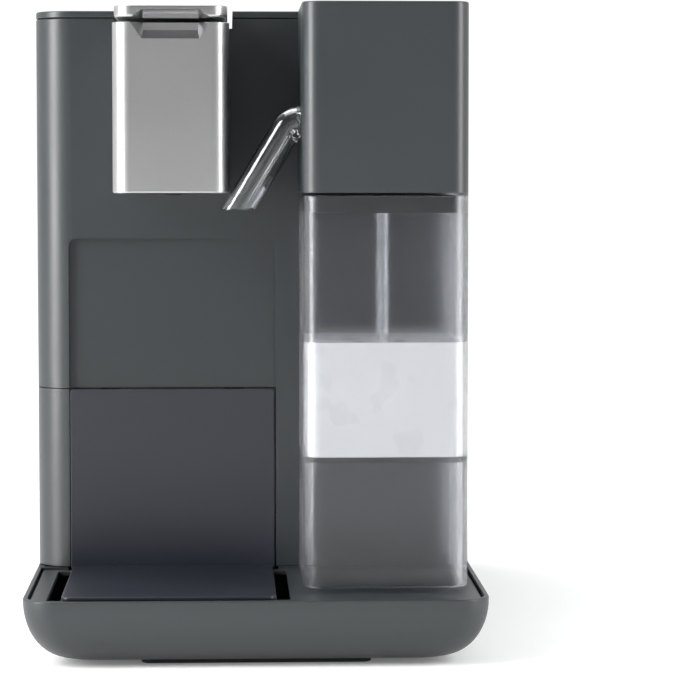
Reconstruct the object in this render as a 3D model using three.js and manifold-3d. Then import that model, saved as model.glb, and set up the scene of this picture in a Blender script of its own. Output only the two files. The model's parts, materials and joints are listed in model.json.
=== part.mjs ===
// Pod coffee machine with a milk unit, in millimetres.
// +X is the machine's right seen from the front, +Y its back, +Z up.
// The origin is the centre of the footprint, on the table top.

import * as THREE from "three";
import { mergeVertices } from "three/addons/utils/BufferGeometryUtils.js";
import Module from "manifold-3d";

const wasm = await Module();
wasm.setup();

// ---- clearances ----
const fit = 0.3; // between pieces that rest on or in each other
const run = 0.5; // between pieces that slide or turn past each other
const through = 1; // how far a cutter runs past the face it cuts

// ---- overall ----
const width = 213;
const depth = 380;
const height = 303.5;
const footHeight = 2.2;
const rimHeight = 31.8; // top of the boat-shaped base
const footprintRadius = 15;
const sweepIn = 21; // how far the base's underside pulls in
const sweepUp = 28.6; // how high that curve reaches
const trayReach = 116; // tray in front of the body's face
const baseWall = 3.5;
const baseWeb = 4; // cross wall of the base in front of the water tank
const webSetback = 1;
const underMargin = 3;
const footRadius = 9;
const footEdge = 1;
const footMidY = 22; // middle feet behind the body's face
const hoseWayLeft = -22;
const hoseWayRight = 2;
const hoseWayLow = 8;
const hoseWayHigh = 24;

// ---- housing ----
const wall = 3;
const frontWall = 6;
const rearWall = 5;
const bodyRadius = 18;
const coverThickness = 3.2;
const columnWidth = 63; // rear column that carries the mains inlet
const tankBay = 76; // depth of the water tank's bay behind the housing
const columnRadius = 4;
const rearRadius = 8; // the two rear corners of the whole footprint
const panelWidth = 46;
const panelBottom = 54;
const panelTop = 286;
const panelLedge = 7; // ledge that the rear panel screws to
const panelThickness = 1.2;

// ---- brew side ----
const brewX = -39; // centre of the brew head, the lever and the pod path
const headWidth = 54.4;
const headReach = 71;
const headBottom = 215.5;
const headRadius = 8.5;
const headWall = 2;
const channelWidth = 57.5;
const channelDepth = 8.5;
const channelBridge = 10; // cover left standing behind the channel
const leverWidth = 52.6;
const leverThickness = 5.5;
const leverGap = 2.1;
const leverReachBack = 134; // pivot behind the body's face
const leverBarrel = 2.4;
const leverPinRadius = 1;
const scoopTop = 37.6;
const scoopBottom = 27;
const scoopHead = 7.7; // scoop height in the brew head
const scoopLever = 4; // scoop height in the lever
const scoopDepth = 9;

// ---- pod path ----
const podWell = 34;
const chamberWidth = 46;
const chamberDepth = 56;
const chamberHeight = 62;
const chamberFront = 2; // behind the front wall
const pocketDepth = 18;
const platePlay = 8; // travel of the piercing plate
const plateThickness = 4;
const pinLength = 4;
const chuteWall = 1.5;
const chuteLift = 13; // chute's lower edge above the bin

// ---- drawer ----
const seamHeight = 120; // top edge of the drawer front
const wrapDepth = 34; // how far the drawer front wraps round the corner
const trayWall = 2;
const trayGroove = 0.7;
const plateTop = 30.8;
const plateThick = 2.5;
const trayLedge = 2;
const drawerWidth = 88;
const drawerDepth = 134;
const drawerFloor = 3;
const binWall = 1.5;
const binHeight = 97;
const slotWidth = 6.3;
const slotLength = 98;
const slotFront = 11; // from the tray's front rim
const slotGap = 2.6; // from the cup stand's edge to a slot's centre
const drainCount = 5;
const drainPitch = 15;
const drainWidth = 4;
const drainFront = 30;
const drainBack = 90;
const barWidth = 106; // rubber bar under the tray
const barDepth = 10;
const barFront = 22;
const barRadius = 4.9;
const lipWidth = 1.7; // drawer frame's side lips
const lipDrop = 3;
const drawerBottom = 12;
const apronInset = 4;
const binFront = 1.5;
const binBack = 2;
const binRadius = 5;

// ---- cup stand ----
const standX = -40; // centre of the cup stand and its track
const standWidth = 99.6;
const standBack = 2.3;
const standPlate = 1.5;
const standReach = 107;
const standTravel = 66;
const trackDepth = 2.6;
const trackTop = 193.1;
const trackRadius = 3.9;
const notchPlay = 2; // room beside the stand in the base
const shelfInset = 0.9;
const shelfRadius = 4;
const guideWidth = 9.4;
const guideHeight = 17.5;
const guideSpread = 60;
const guideLift = 1.5; // guides' lower ends above the base's rim
const guidePlay = 0.1;

// ---- milk unit ----
const milkWidth = 76.8;
const milkX = 59.9;
const milkReach = 89.5;
const milkHeadBottom = 215.9;
const milkHeadWall = 2.5;
const milkGap = 1.4; // shadow gap between the tank and its head
const milkBottom = 33.5;
const milkWall = 2.2;
const milkFloor = 93.6;
const lidBand = 7.8;
const milkInset = 0.15;
const milkBack = 2; // tank's back in front of the body's face
const intakeRadius = 2.6;
const intakeBore = 1.6;
const intakeY = -130;

// ---- milk spout ----
const spoutY = -140;
const spoutZ = 250;
const spoutRadius = 7.2;
const spoutWall = 1.5;
const spoutLean = 30.9; // degrees from upright
const spoutTip = 208;
const spoutTop = 244.5; // height of the tube's axis at its upper end
const stubRadius = 4.9;
const stubFlange = 5.6;
const stubBore = 2;
const spigotRadius = 3;
const clipRadius = 2.6; // eye under the stub that the cleaning brush hooks into

// ---- water tank ----
const tankWall = 2.5;
const tankLid = 4;
const lidPivotIn = 5; // pivot behind the tank's front face
const lidBarrel = 2;
const lidPinRadius = 1;
const earWidth = 6;
const earInset = 3;
const earReach = 1.6; // ear behind the pivot
const valveX = -30;
const valveY = 150;
const valveRadius = 8.4;
const valveStem = 5;
const socketRadius = 12;
const socketBottom = 18;

// ---- controls and mains ----
const buttonRadius = 7;
const buttonPitch = 28;
const buttonCount = 4;
const buttonFirstY = -52;
const buttonTravel = 1.5;
const buttonSink = 0.3;
const buttonFlange = 8.6;
const buttonHole = 7.4;
const buttonSkirt = 2.4;
const buttonEdge = 0.6;
const buttonDish = 0.4;
const boardGap = 1;
const boardThickness = 1.6;
const stripHalf = 10; // half the button board's width
const stripEnd = 8; // button board past the outer buttons
const boardDrop = 14; // control board under the housing's roof
const boardHalf = 32;
const boardFront = 15;
const boardChips = [ // [x, y, width, depth, height] of each tall part on the control board
  [-20, 0, 12, 10, 3],
  [8, -30, 20, 16, 9],
  [-12, 45, 14, 14, 8],
  [15, 30, 10, 26, 6],
];
const inletWidth = 27;
const inletHeight = 19.5;
const inletDepth = 28;
const inletZ = 90;
const inletFlange = 3;
const inletWall = 1.6;
const inletPocket = 20;
const inletBlades = [[-7, 0], [0, 3], [7, 0]]; // [x, z] from the inlet's centre
const bladeHalf = 1;
const bladeHalfHeight = 2;
const bladeFront = 6; // blades' free ends inside the back
const rearSink = 0.2; // screws and inlet flange inside the back
const flangeSink = 1.2;
const switchZ = 130;
const rockerWidth = 19;
const rockerHeight = 12.6;
const switchWall = 1.2;
const switchDepth = 16;
const switchFloor = 2;
const rockerDepth = 9;
const rockerHeel = 5;
const rockerFace = 1.6;
const rockerDip = 1; // rocker's middle below its ends
const ventCount = 8;
const ventPitch = 8;
const ventSlot = 3;
const ventHalf = 15;
const ventBottom = 200;
const screwHole = 1.7;
const screwShank = 1.4;
const screwHead = 3;
const screwDepth = 8;
const screwSlot = 0.4; // half the slot's width
const screwSlotHalf = 2;
const screwSlotDepth = 0.7;

// ---- places worked out from the sizes above ----
const left = -width / 2;
const right = width / 2;
const front = -depth / 2;
const back = depth / 2;
const face = front + trayReach; // the body's front face
const bay = back - tankBay; // the housing's back, in front of the water tank
const columnLeft = right - columnWidth;
const columnX = columnLeft + columnWidth / 2;
const coverBottom = height - coverThickness;
const housingTop = coverBottom - fit;
const channelFloor = height - channelDepth;
const channelBack = bay - channelBridge;
const headTop = channelFloor - fit;
const headFront = face - headReach;
const leverBottom = headTop + leverGap;
const leverTop = leverBottom + leverThickness;
const pivotY = face + leverReachBack;
const pivotZ = leverBottom + 1.1;
const wellFront = face + frontWall + chamberFront + 4;
const chamberTop = channelFloor - wall - run;
const chamberBottom = chamberTop - chamberHeight;
const chamberY = face + frontWall + chamberFront;
const milkLeft = milkX - milkWidth / 2;
const milkRight = milkX + milkWidth / 2;
const milkFront = face - milkReach;
const milkTop = milkHeadBottom - milkGap;
const drawerLeft = brewX - drawerWidth / 2;
const drawerRight = brewX + drawerWidth / 2;
const drawerFrontRight = standX + standWidth / 2 + run;
const binBottom = drawerBottom + drawerFloor + fit;
const binTop = binBottom + binHeight;
const tankLeft = left;
const tankRight = columnLeft - run;
const tankFront = bay + run;
const tankBottom = rimHeight + run;
const tankTop = height - tankLid - fit;
const deckThickness = 3.5;

// ---- finishes ----
function finish(color, roughness, metalness = 0, opacity = 1) {
  return new THREE.MeshStandardMaterial({ color, roughness, metalness, opacity, transparent: opacity < 1 });
}
const anthracite = finish(0x46494c, 0.45, 0.2);
const basePlastic = finish(0x3c4245, 0.55);
const silver = finish(0xa8a9ab, 0.35, 0.8);
const standPlastic = finish(0x474c58, 0.5);
const blackPlastic = finish(0x16181a, 0.5);
const rubber = finish(0x101112, 0.85);
const smoke = finish(0x777b80, 0.15, 0, 0.4);
const clear = finish(0xe8eef2, 0.05, 0, 0.3);
const whitePlastic = finish(0xe4e4e0, 0.5);
const castMetal = finish(0x8d8f92, 0.5, 0.7);
const steel = finish(0xb8babd, 0.3, 0.9);
const boardGreen = finish(0x1f4a34, 0.6);
const hoseSilicone = finish(0xd9d6cc, 0.5);

// ---- solids ----
const turn = Math.PI / 180;

function solid(geometry) {
  const bare = geometry.clone();
  bare.deleteAttribute("normal");
  bare.deleteAttribute("uv");
  const merged = mergeVertices(bare, 1e-4);
  return new wasm.Manifold(new wasm.Mesh({
    numProp: 3,
    vertProperties: new Float32Array(merged.attributes.position.array),
    triVerts: new Uint32Array(merged.index.array),
  }));
}

function box(x0, x1, y0, y1, z0, z1) {
  const geometry = new THREE.BoxGeometry(x1 - x0, y1 - y0, z1 - z0);
  geometry.translate((x0 + x1) / 2, (y0 + y1) / 2, (z0 + z1) / 2);
  return solid(geometry);
}

// A cylinder of radius r along an axis, from a to b on it, through the point (u, v) of the other two.
function rod(axis, r, a, b, u, v, sides = 20) {
  const geometry = new THREE.CylinderGeometry(r, r, b - a, sides);
  geometry.translate(0, (a + b) / 2, 0);
  if (axis === "x") {
    geometry.rotateZ(-Math.PI / 2);
    geometry.translate(0, u, v);
  } else if (axis === "y") {
    geometry.translate(u, 0, v);
  } else {
    geometry.rotateX(Math.PI / 2);
    geometry.translate(u, v, 0);
  }
  return solid(geometry);
}

// A turned piece on an upright axis through (x, y); the profile is a closed loop of [radius, height].
function turned(profile, x, y, sides = 24) {
  const points = profile.map(([r, z]) => new THREE.Vector2(r, z));
  const geometry = new THREE.LatheGeometry(points, sides);
  geometry.rotateX(Math.PI / 2);
  geometry.translate(x, y, 0);
  return solid(geometry);
}

// A closed outline with square corners, each rounded by its own radius: corners are [x, y, radius].
function outline(corners) {
  const shape = new THREE.Shape();
  corners.forEach(([x, y, radius], i) => {
    const [px, py] = corners[(i + corners.length - 1) % corners.length];
    const [nx, ny] = corners[(i + 1) % corners.length];
    const before = new THREE.Vector2(px - x, py - y).normalize();
    const after = new THREE.Vector2(nx - x, ny - y).normalize();
    const startX = x + before.x * radius;
    const startY = y + before.y * radius;
    if (i === 0) {
      shape.moveTo(startX, startY);
    } else {
      shape.lineTo(startX, startY);
    }
    if (radius > 0) {
      const centreX = startX + after.x * radius;
      const centreY = startY + after.y * radius;
      const from = Math.atan2(-after.y, -after.x);
      const to = Math.atan2(-before.y, -before.x);
      const clockwise = before.x * after.y - before.y * after.x > 0;
      shape.absarc(centreX, centreY, radius, from, to, clockwise);
    }
  });
  shape.closePath();
  return shape;
}

function frame(x0, x1, y0, y1, rFront, rBack = rFront) {
  return outline([[x0, y0, rFront], [x1, y0, rFront], [x1, y1, rBack], [x0, y1, rBack]]);
}

function slab(shape, z0, z1, steps = 3) {
  const geometry = new THREE.ExtrudeGeometry(shape, { depth: z1 - z0, bevelEnabled: false,
    curveSegments: steps });
  geometry.translate(0, 0, z0);
  return solid(geometry);
}

// An outline drawn in X and Z, pushed from y0 to y1.
function slabY(shape, y0, y1, steps = 3) {
  const geometry = new THREE.ExtrudeGeometry(shape, { depth: y1 - y0, bevelEnabled: false,
    curveSegments: steps });
  geometry.rotateX(Math.PI / 2);
  geometry.translate(0, y1, 0);
  return solid(geometry);
}

// An outline drawn in Y and Z, pushed from x0 to x1.
function slabX(shape, x0, x1, steps = 3) {
  const geometry = new THREE.ExtrudeGeometry(shape, { depth: x1 - x0, bevelEnabled: false,
    curveSegments: steps });
  geometry.rotateX(Math.PI / 2);
  geometry.rotateZ(Math.PI / 2);
  geometry.translate(x0, 0, 0);
  return solid(geometry);
}

// A hose or pipe of radius r along a smooth line through hand-set points.
function hose(points, r, steps, sides = 4) {
  const path = new THREE.CatmullRomCurve3(points.map((p) => new THREE.Vector3(...p)));
  const section = new THREE.Shape();
  section.absarc(0, 0, r, 0, Math.PI * 2, false);
  const geometry = new THREE.ExtrudeGeometry(section, {
    steps,
    curveSegments: sides,
    bevelEnabled: false,
    extrudePath: path,
  });
  return solid(geometry);
}

// The boat-shaped base, shrunk by an even wall: upright at its rim, then a quarter ellipse inwards.
function boat(shrink, top = rimHeight) {
  const rings = [];
  const steps = 6;
  const floor = footHeight + shrink;
  const rise = sweepUp - shrink;
  for (let i = 0; i <= steps; i += 1) {
    const angle = (Math.PI / 2) * (1 - i / steps);
    const inset = shrink + sweepIn * (1 - Math.cos(angle));
    rings.push({ inset, z: floor + rise * (1 - Math.sin(angle)) });
  }
  rings.push({ inset: shrink, z: top });
  const outlines = rings.map(({ inset }) =>
    frame(left + inset, right - inset, front + inset, back - inset,
      footprintRadius).extractPoints(3).shape);
  outlines.forEach((points) => {
    if (points[0].equals(points[points.length - 1])) {
      points.pop();
    }
  });
  const count = outlines[0].length;
  const positions = [];
  outlines.forEach((points, level) => points.forEach((p) => positions.push(p.x, p.y, rings[level].z)));
  const faces = [];
  for (let level = 0; level + 1 < rings.length; level += 1) {
    for (let i = 0; i < count; i += 1) {
      const next = (i + 1) % count;
      const a = level * count + i;
      const b = level * count + next;
      faces.push(a, b, b + count, a, b + count, a + count);
    }
  }
  const topStart = (rings.length - 1) * count;
  THREE.ShapeUtils.triangulateShape(outlines[0], []).forEach(([a, b, c]) => {
    faces.push(c, b, a);
    faces.push(topStart + a, topStart + b, topStart + c);
  });
  return new wasm.Manifold(new wasm.Mesh({
    numProp: 3,
    vertProperties: new Float32Array(positions),
    triVerts: new Uint32Array(faces),
  }));
}

function cut(body, ...tools) {
  return tools.reduce((rest, tool) => rest.subtract(tool), body);
}

function join(first, ...others) {
  return others.reduce((whole, piece) => whole.add(piece), first);
}

const machine = new THREE.Group();

function place(name, body, material) {
  const { vertProperties, triVerts } = body.getMesh();
  const geometry = new THREE.BufferGeometry();
  geometry.setAttribute("position", new THREE.BufferAttribute(vertProperties, 3));
  geometry.setIndex(new THREE.BufferAttribute(triVerts, 1));
  geometry.computeVertexNormals();
  const mesh = new THREE.Mesh(geometry, material);
  mesh.name = name;
  machine.add(mesh);
}

// ---- base ----
const notchLeft = standX - standWidth / 2 - notchPlay;
const notchRight = standX + standWidth / 2 + notchPlay;
const guideBack = face + trackDepth + standBack + guidePlay;

function makeBase() {
  const webBack = bay + webSetback;
  const webFront = webBack - baseWeb;
  const hull = boat(0).intersect(box(left - through, right + through, face, back + through, 0, rimHeight));
  const well = boat(baseWall, rimHeight + through)
    .intersect(box(left, right, face + baseWall, webFront, 0, height));
  const drawerWay = box(notchLeft, notchRight, face - through, face + frontWall + notchPlay,
    drawerBottom - notchPlay, height);
  const footX = right - sweepIn - footRadius - underMargin;
  const underHalf = footX - footRadius - underMargin;
  const under = box(-underHalf, underHalf, webBack, back - sweepIn - underMargin, 0,
    rimHeight - deckThickness);
  const socketHole = rod("z", socketRadius + fit, rimHeight - deckThickness - through, height, valveX,
    valveY);
  const hoseWay = box(hoseWayLeft, hoseWayRight, webFront - through, webBack + through, hoseWayLow,
    hoseWayHigh);
  place("base_shell", cut(hull, well, drawerWay, under, socketHole, hoseWay), basePlastic);
  [["mid", face + footMidY], ["rear", back - sweepIn - footRadius - underMargin]].forEach(([row, y]) => {
    [["left", -footX], ["right", footX]].forEach(([side, x]) => {
      const profile = [[0, 0], [footRadius - footEdge, 0], [footRadius, footEdge],
        [footRadius, footHeight - fit], [0, footHeight - fit]];
      place(`foot_${row}_${side}`, turned(profile, x, y, 20), rubber);
    });
  });
}

// ---- housing ----
function housingShape(inset, frontInset, rearInset) {
  const r = Math.max(bodyRadius - inset, 1);
  return outline([
    [left + inset, face + frontInset, r],
    [right - inset, face + frontInset, r],
    [right - inset, back - rearInset, Math.max(rearRadius - inset, 1)],
    [columnLeft + inset, back - rearInset, columnRadius],
    [columnLeft + inset, bay - inset, 0],
    [left + inset, bay - inset, 1],
  ]);
}

const shellBottom = rimHeight + fit;

function trackCut(grow, top) {
  const x0 = standX - standWidth / 2 - grow;
  const x1 = standX + standWidth / 2 + grow;
  const shape = outline([
    [x0, 0, 0],
    [x1, 0, 0],
    [x1, top, trackRadius],
    [x0, top, trackRadius],
  ]);
  return slabY(shape, face - through, face + trackDepth);
}

function drawerZone(grow) {
  return box(left - through, drawerFrontRight + grow, face - through, face + wrapDepth + grow, 0,
    seamHeight - fit + grow);
}

function panelOpening(shrink, y0, y1) {
  return slabY(frame(columnX - panelWidth / 2 + shrink, columnX + panelWidth / 2 - shrink,
    panelBottom + shrink,
    panelTop - shrink, 3), y0, y1);
}

function buttonCentres() {
  return Array.from({ length: buttonCount }, (_, i) => buttonFirstY + i * buttonPitch);
}

const buttonX = left + (brewX - channelWidth / 2 - left) / 2;

function buttonHoles() {
  return buttonCentres().map((y) => rod("z", buttonHole, channelFloor, height + through, buttonX, y));
}

const brewFrame = 4; // rim of the housing's window behind the brew head
const milkFrame = 7;

function makeHousing() {
  const outer = slab(housingShape(0, 0, 0), shellBottom, housingTop);
  const inner = slab(housingShape(wall, frontWall, rearWall), 0, housingTop - wall);
  const shell = cut(outer, inner);
  const channelLeft = brewX - channelWidth / 2;
  const channelRight = brewX + channelWidth / 2;
  const trough = box(channelLeft - wall, channelRight + wall, face, channelBack + wall,
    channelFloor - wall, housingTop);
  const channel = box(channelLeft, channelRight, face - through, channelBack, channelFloor, height);
  const pinHole = rod("x", leverPinRadius + fit, channelLeft - wall - through,
    channelRight + wall + through,
    pivotY, pivotZ);
  const podSlot = box(brewX - podWell / 2, brewX + podWell / 2, wellFront, wellFront + podWell,
    channelFloor - wall - through, height);
  const brewWindow = box(brewX - headWidth / 2 + brewFrame, brewX + headWidth / 2 - brewFrame,
    face - through,
    face + frontWall + through, headBottom + brewFrame + 2, headTop - 2 * brewFrame);
  const milkWindow = box(milkLeft + milkFrame, milkRight - milkFrame, face - through,
    face + frontWall + through, milkHeadBottom + milkFrame, height - milkFrame - 5);
  place("housing", cut(join(shell, trough), channel, pinHole, podSlot, brewWindow, milkWindow,
    trackCut(run, trackTop), drawerZone(fit),
    panelOpening(0, back - wall, back + through), panelOpening(panelLedge, back - rearWall - through, back),
    ...buttonHoles(), ...screwHoles(back - rearWall - screwDepth)), anthracite);

  const coverShape = slab(housingShape(0, 0, 0), coverBottom, height);
  const coverNotch = box(channelLeft, channelRight, face - through, channelBack, 0, height + through);
  place("top_cover", cut(coverShape, coverNotch, ...buttonHoles()), anthracite);

  const guides = guideCuts(run / 2, rimHeight, seamHeight + through);
  const front = cut(shell.intersect(drawerZone(0)), trackCut(run, trackTop), ...guides);
  const apron = box(drawerLeft + apronInset, drawerRight - apronInset, face + trackDepth + fit,
    face + frontWall, drawerBottom + drawerFloor + fit, shellBottom + through);
  place("drawer_front", cut(join(front, apron), ...guides), anthracite);
}

function screwSpots() {
  const inset = panelLedge / 2;
  return [-1, 1].flatMap((side) => [panelBottom + inset, panelTop - inset]
    .map((z) => [columnX + side * (panelWidth / 2 - inset), z]));
}

function screwHoles(from) {
  return screwSpots().map(([x, z]) => rod("y", screwHole, from, back + through, x, z, 12));
}

function makeRear() {
  const sheetFront = back - wall + fit;
  const sheet = panelOpening(fit, sheetFront, sheetFront + panelThickness);
  const inletX0 = columnX - inletWidth / 2;
  const inletX1 = columnX + inletWidth / 2;
  const inletZ0 = inletZ - inletHeight / 2;
  const inletZ1 = inletZ + inletHeight / 2;
  const inletHole = box(inletX0 - fit, inletX1 + fit, back - bladeFront, back + through, inletZ0 - fit,
    inletZ1 + fit);
  const switchHalfW = rockerWidth / 2 + run + switchWall;
  const switchHalfH = rockerHeight / 2 + run + switchWall;
  const switchHole = box(columnX - switchHalfW - fit, columnX + switchHalfW + fit, back - rearWall,
    back + through, switchZ - switchHalfH - fit, switchZ + switchHalfH + fit);
  const vents = Array.from({ length: ventCount }, (_, i) => box(columnX - ventHalf, columnX + ventHalf,
    back - rearWall, back + through, ventBottom + i * ventPitch, ventBottom + i * ventPitch + ventSlot));
  const panelHoles = screwHoles(back - rearWall - through);
  place("rear_panel", cut(sheet, inletHole, switchHole, ...panelHoles, ...vents), blackPlastic);
  screwSpots().forEach(([x, z], i) => {
    const shank = rod("y", screwShank, back - screwDepth, back - through, x, z, 12);
    const cap = rod("y", screwHead, sheetFront + panelThickness + fit, back - rearSink, x, z, 16);
    const drive = box(x - screwSlotHalf, x + screwSlotHalf, back - screwSlotDepth, back + through,
      z - screwSlot, z + screwSlot);
    place(`rear_screw_${i + 1}`, cut(join(shank, cap), drive), steel);
  });

  const body = box(inletX0, inletX1, back - inletDepth, back - rearSink - through / 2, inletZ0, inletZ1);
  const flange = slabY(frame(inletX0 - inletFlange, inletX1 + inletFlange, inletZ0 - inletFlange,
    inletZ1 + inletFlange, 2), back - flangeSink, back - rearSink);
  const socket = box(inletX0 + inletWall, inletX1 - inletWall, back - inletPocket, back + through,
    inletZ0 + inletWall, inletZ1 - inletWall);
  const blades = inletBlades.map(([x, z]) =>
    box(columnX + x - bladeHalf, columnX + x + bladeHalf, back - inletPocket - through, back - bladeFront,
      inletZ + z - bladeHalfHeight, inletZ + z + bladeHalfHeight));
  place("mains_inlet", join(cut(join(body, flange), socket), ...blades), blackPlastic);

  const cage = box(columnX - switchHalfW, columnX + switchHalfW, back - switchDepth, back - through,
    switchZ - switchHalfH, switchZ + switchHalfH);
  const cageBore = box(columnX - rockerWidth / 2 - run, columnX + rockerWidth / 2 + run,
    back - switchDepth + switchFloor, back, switchZ - rockerHeight / 2 - run,
      switchZ + rockerHeight / 2 + run);
  place("switch_frame", cut(cage, cageBore), blackPlastic);
  const rockerShape = new THREE.Shape();
  rockerShape.moveTo(back - rockerDepth, switchZ);
  rockerShape.lineTo(back - rockerHeel, switchZ - rockerHeight / 2);
  rockerShape.lineTo(back - rockerFace, switchZ - rockerHeight / 2);
  rockerShape.lineTo(back - rockerFace - rockerDip, switchZ);
  rockerShape.lineTo(back - rockerFace, switchZ + rockerHeight / 2);
  rockerShape.lineTo(back - rockerHeel, switchZ + rockerHeight / 2);
  rockerShape.closePath();
  place("power_switch", slabX(rockerShape, columnX - rockerWidth / 2, columnX + rockerWidth / 2),
    blackPlastic);
}

// ---- brew head and lever ----
// The finger scoop that the lever and the head share: a flared pocket in their front edges.
function scoop() {
  const shape = new THREE.Shape();
  shape.moveTo(brewX - scoopBottom / 2, headTop - scoopHead);
  shape.lineTo(brewX + scoopBottom / 2, headTop - scoopHead);
  shape.lineTo(brewX + scoopTop / 2, headTop);
  shape.lineTo(brewX + scoopTop / 2, leverBottom + scoopLever);
  shape.lineTo(brewX - scoopTop / 2, leverBottom + scoopLever);
  shape.lineTo(brewX - scoopTop / 2, headTop);
  shape.closePath();
  return slabY(shape, headFront - through, headFront + scoopDepth);
}

const outletIn = 29; // the coffee nozzle's axis, back from the head's front
const nozzleBore = 2.5;
const nozzleRadius = 6;
const nozzleFlange = 8.5;
const nozzleRise = 5;
const pipeLift = 12;
const pipeRadius = 3;

function makeBrewHead() {
  const x0 = brewX - headWidth / 2;
  const x1 = brewX + headWidth / 2;
  const outer = slab(frame(x0, x1, headFront, face - fit, headRadius, 0.5), headBottom, headTop);
  const inner = slab(frame(x0 + headWall, x1 - headWall, headFront + headWall, face + through,
    headRadius - headWall, 0.5), headBottom + headWall, headTop - headWall);
  const backingHalf = scoopTop / 2 + headWall;
  const backing = box(brewX - backingHalf, brewX + backingHalf, headFront + headWall / 2,
    headFront + scoopDepth + headWall, headTop - scoopHead - headWall, headTop - headWall / 2);
  const outletY = headFront + outletIn;
  const nozzleHole = rod("z", nozzleRadius + 0.5, headBottom - through, headBottom + headWall + through,
    brewX, outletY);
  place("brew_head", cut(join(cut(outer, inner), backing), scoop(), nozzleHole), silver);

  const seat = headBottom + headWall + fit;
  const nozzleTop = headBottom + headWall + nozzleRise;
  const nozzle = [[nozzleBore, headBottom - 1], [nozzleRadius - 1.5, headBottom - 1],
    [nozzleRadius, headBottom + 0.5], [nozzleRadius, seat], [nozzleFlange, seat],
    [nozzleFlange, nozzleTop - 3], [nozzleRadius, nozzleTop - 1], [nozzleRadius - 2, nozzleTop],
    [nozzleBore, nozzleTop], [nozzleBore, headBottom - 1]];
  place("coffee_outlet", turned(nozzle, brewX, outletY), blackPlastic);

  const pipeZ = chamberBottom + pipeLift;
  const pipe = [[brewX, chamberY - fit, pipeZ], [brewX, chamberY - 20, pipeZ], [brewX, outletY + 8, pipeZ],
    [brewX, outletY + 1, pipeZ - 2.5], [brewX, outletY, pipeZ - 8], [brewX, outletY, nozzleTop + 0.4]];
  place("outlet_pipe", hose(pipe, pipeRadius, 14), hoseSilicone);
}

function makeLever() {
  const x0 = brewX - leverWidth / 2;
  const x1 = brewX + leverWidth / 2;
  const plate = slab(frame(x0, x1, headFront, pivotY, headRadius, 0), leverBottom, leverTop);
  const barrel = rod("x", leverBarrel, x0, x1, pivotY, pivotZ, 16);
  const tail = box(x0, x1, pivotY - leverThickness, pivotY + through, leverTop - 1.6, leverTop + through);
  const bore = rod("x", leverPinRadius + fit, x0 - through, x1 + through, pivotY, pivotZ, 12);
  place("brew_lever", cut(join(plate, barrel), tail, scoop(), bore), silver);
  const reach = channelWidth / 2 + wall - run;
  place("lever_pin", rod("x", leverPinRadius, brewX - reach, brewX + reach, pivotY, pivotZ, 12), steel);
}

// ---- pod path inside the housing ----
const pocketSill = 8;
const pocketHeader = 6;
const pushRadius = 3;
const pinSpots = [-8, 0, 8];

function makePodPath() {
  const half = chamberWidth / 2;
  const body = box(brewX - half, brewX + half, chamberY, chamberY + chamberDepth, chamberBottom,
    chamberTop);
  const wellBack = wellFront + podWell;
  const well = box(brewX - podWell / 2, brewX + podWell / 2, wellFront, wellBack, chamberBottom - through,
    chamberTop + through);
  const pocketBottom = chamberBottom + pocketSill;
  const pocketTop = chamberTop - pocketHeader;
  const pocket = box(brewX - podWell / 2, brewX + podWell / 2, wellBack - through,
    wellBack + pocketDepth - 2,
    pocketBottom, pocketTop);
  const plateZ = (chamberBottom + chamberTop) / 2;
  const rodHole = rod("y", pushRadius + run, wellBack, chamberY + chamberDepth + through, brewX, plateZ,
    16);
  place("brew_chamber", cut(body, well, pocket, rodHole), whitePlastic);

  const plateHalf = podWell / 2 - run;
  const plateY = wellBack + run;
  const plate = box(brewX - plateHalf, brewX + plateHalf, plateY, plateY + plateThickness,
    pocketBottom + run, pocketTop - run);
  const push = rod("y", pushRadius, plateY + plateThickness - through, chamberY + chamberDepth + 8,
    brewX, plateZ, 16);
  const pins = pinSpots.map((x) => rod("y", 1, plateY - pinLength, plateY + through, brewX + x, plateZ, 8));
  place("piercing_plate", join(plate, push, ...pins), steel);

  const outerHalf = podWell / 2 + chuteWall;
  const chuteTop = chamberBottom - fit;
  const chuteBottom = binTop + chuteLift;
  const chute = box(brewX - outerHalf, brewX + outerHalf, wellFront - chuteWall, wellBack + chuteWall,
    chuteBottom, chuteTop);
  const chuteBore = box(brewX - podWell / 2, brewX + podWell / 2, wellFront, wellBack, 0, height);
  place("pod_chute", cut(chute, chuteBore), blackPlastic);
}

// ---- drip drawer ----
function guideCuts(grow, z0, z1) {
  return [-1, 1].map((side) => {
    const x = standX + side * guideSpread / 2;
    return box(x - guideWidth / 2 - grow, x + guideWidth / 2 + grow, face + trackDepth - through,
      guideBack + grow, z0, z1);
  });
}

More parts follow.
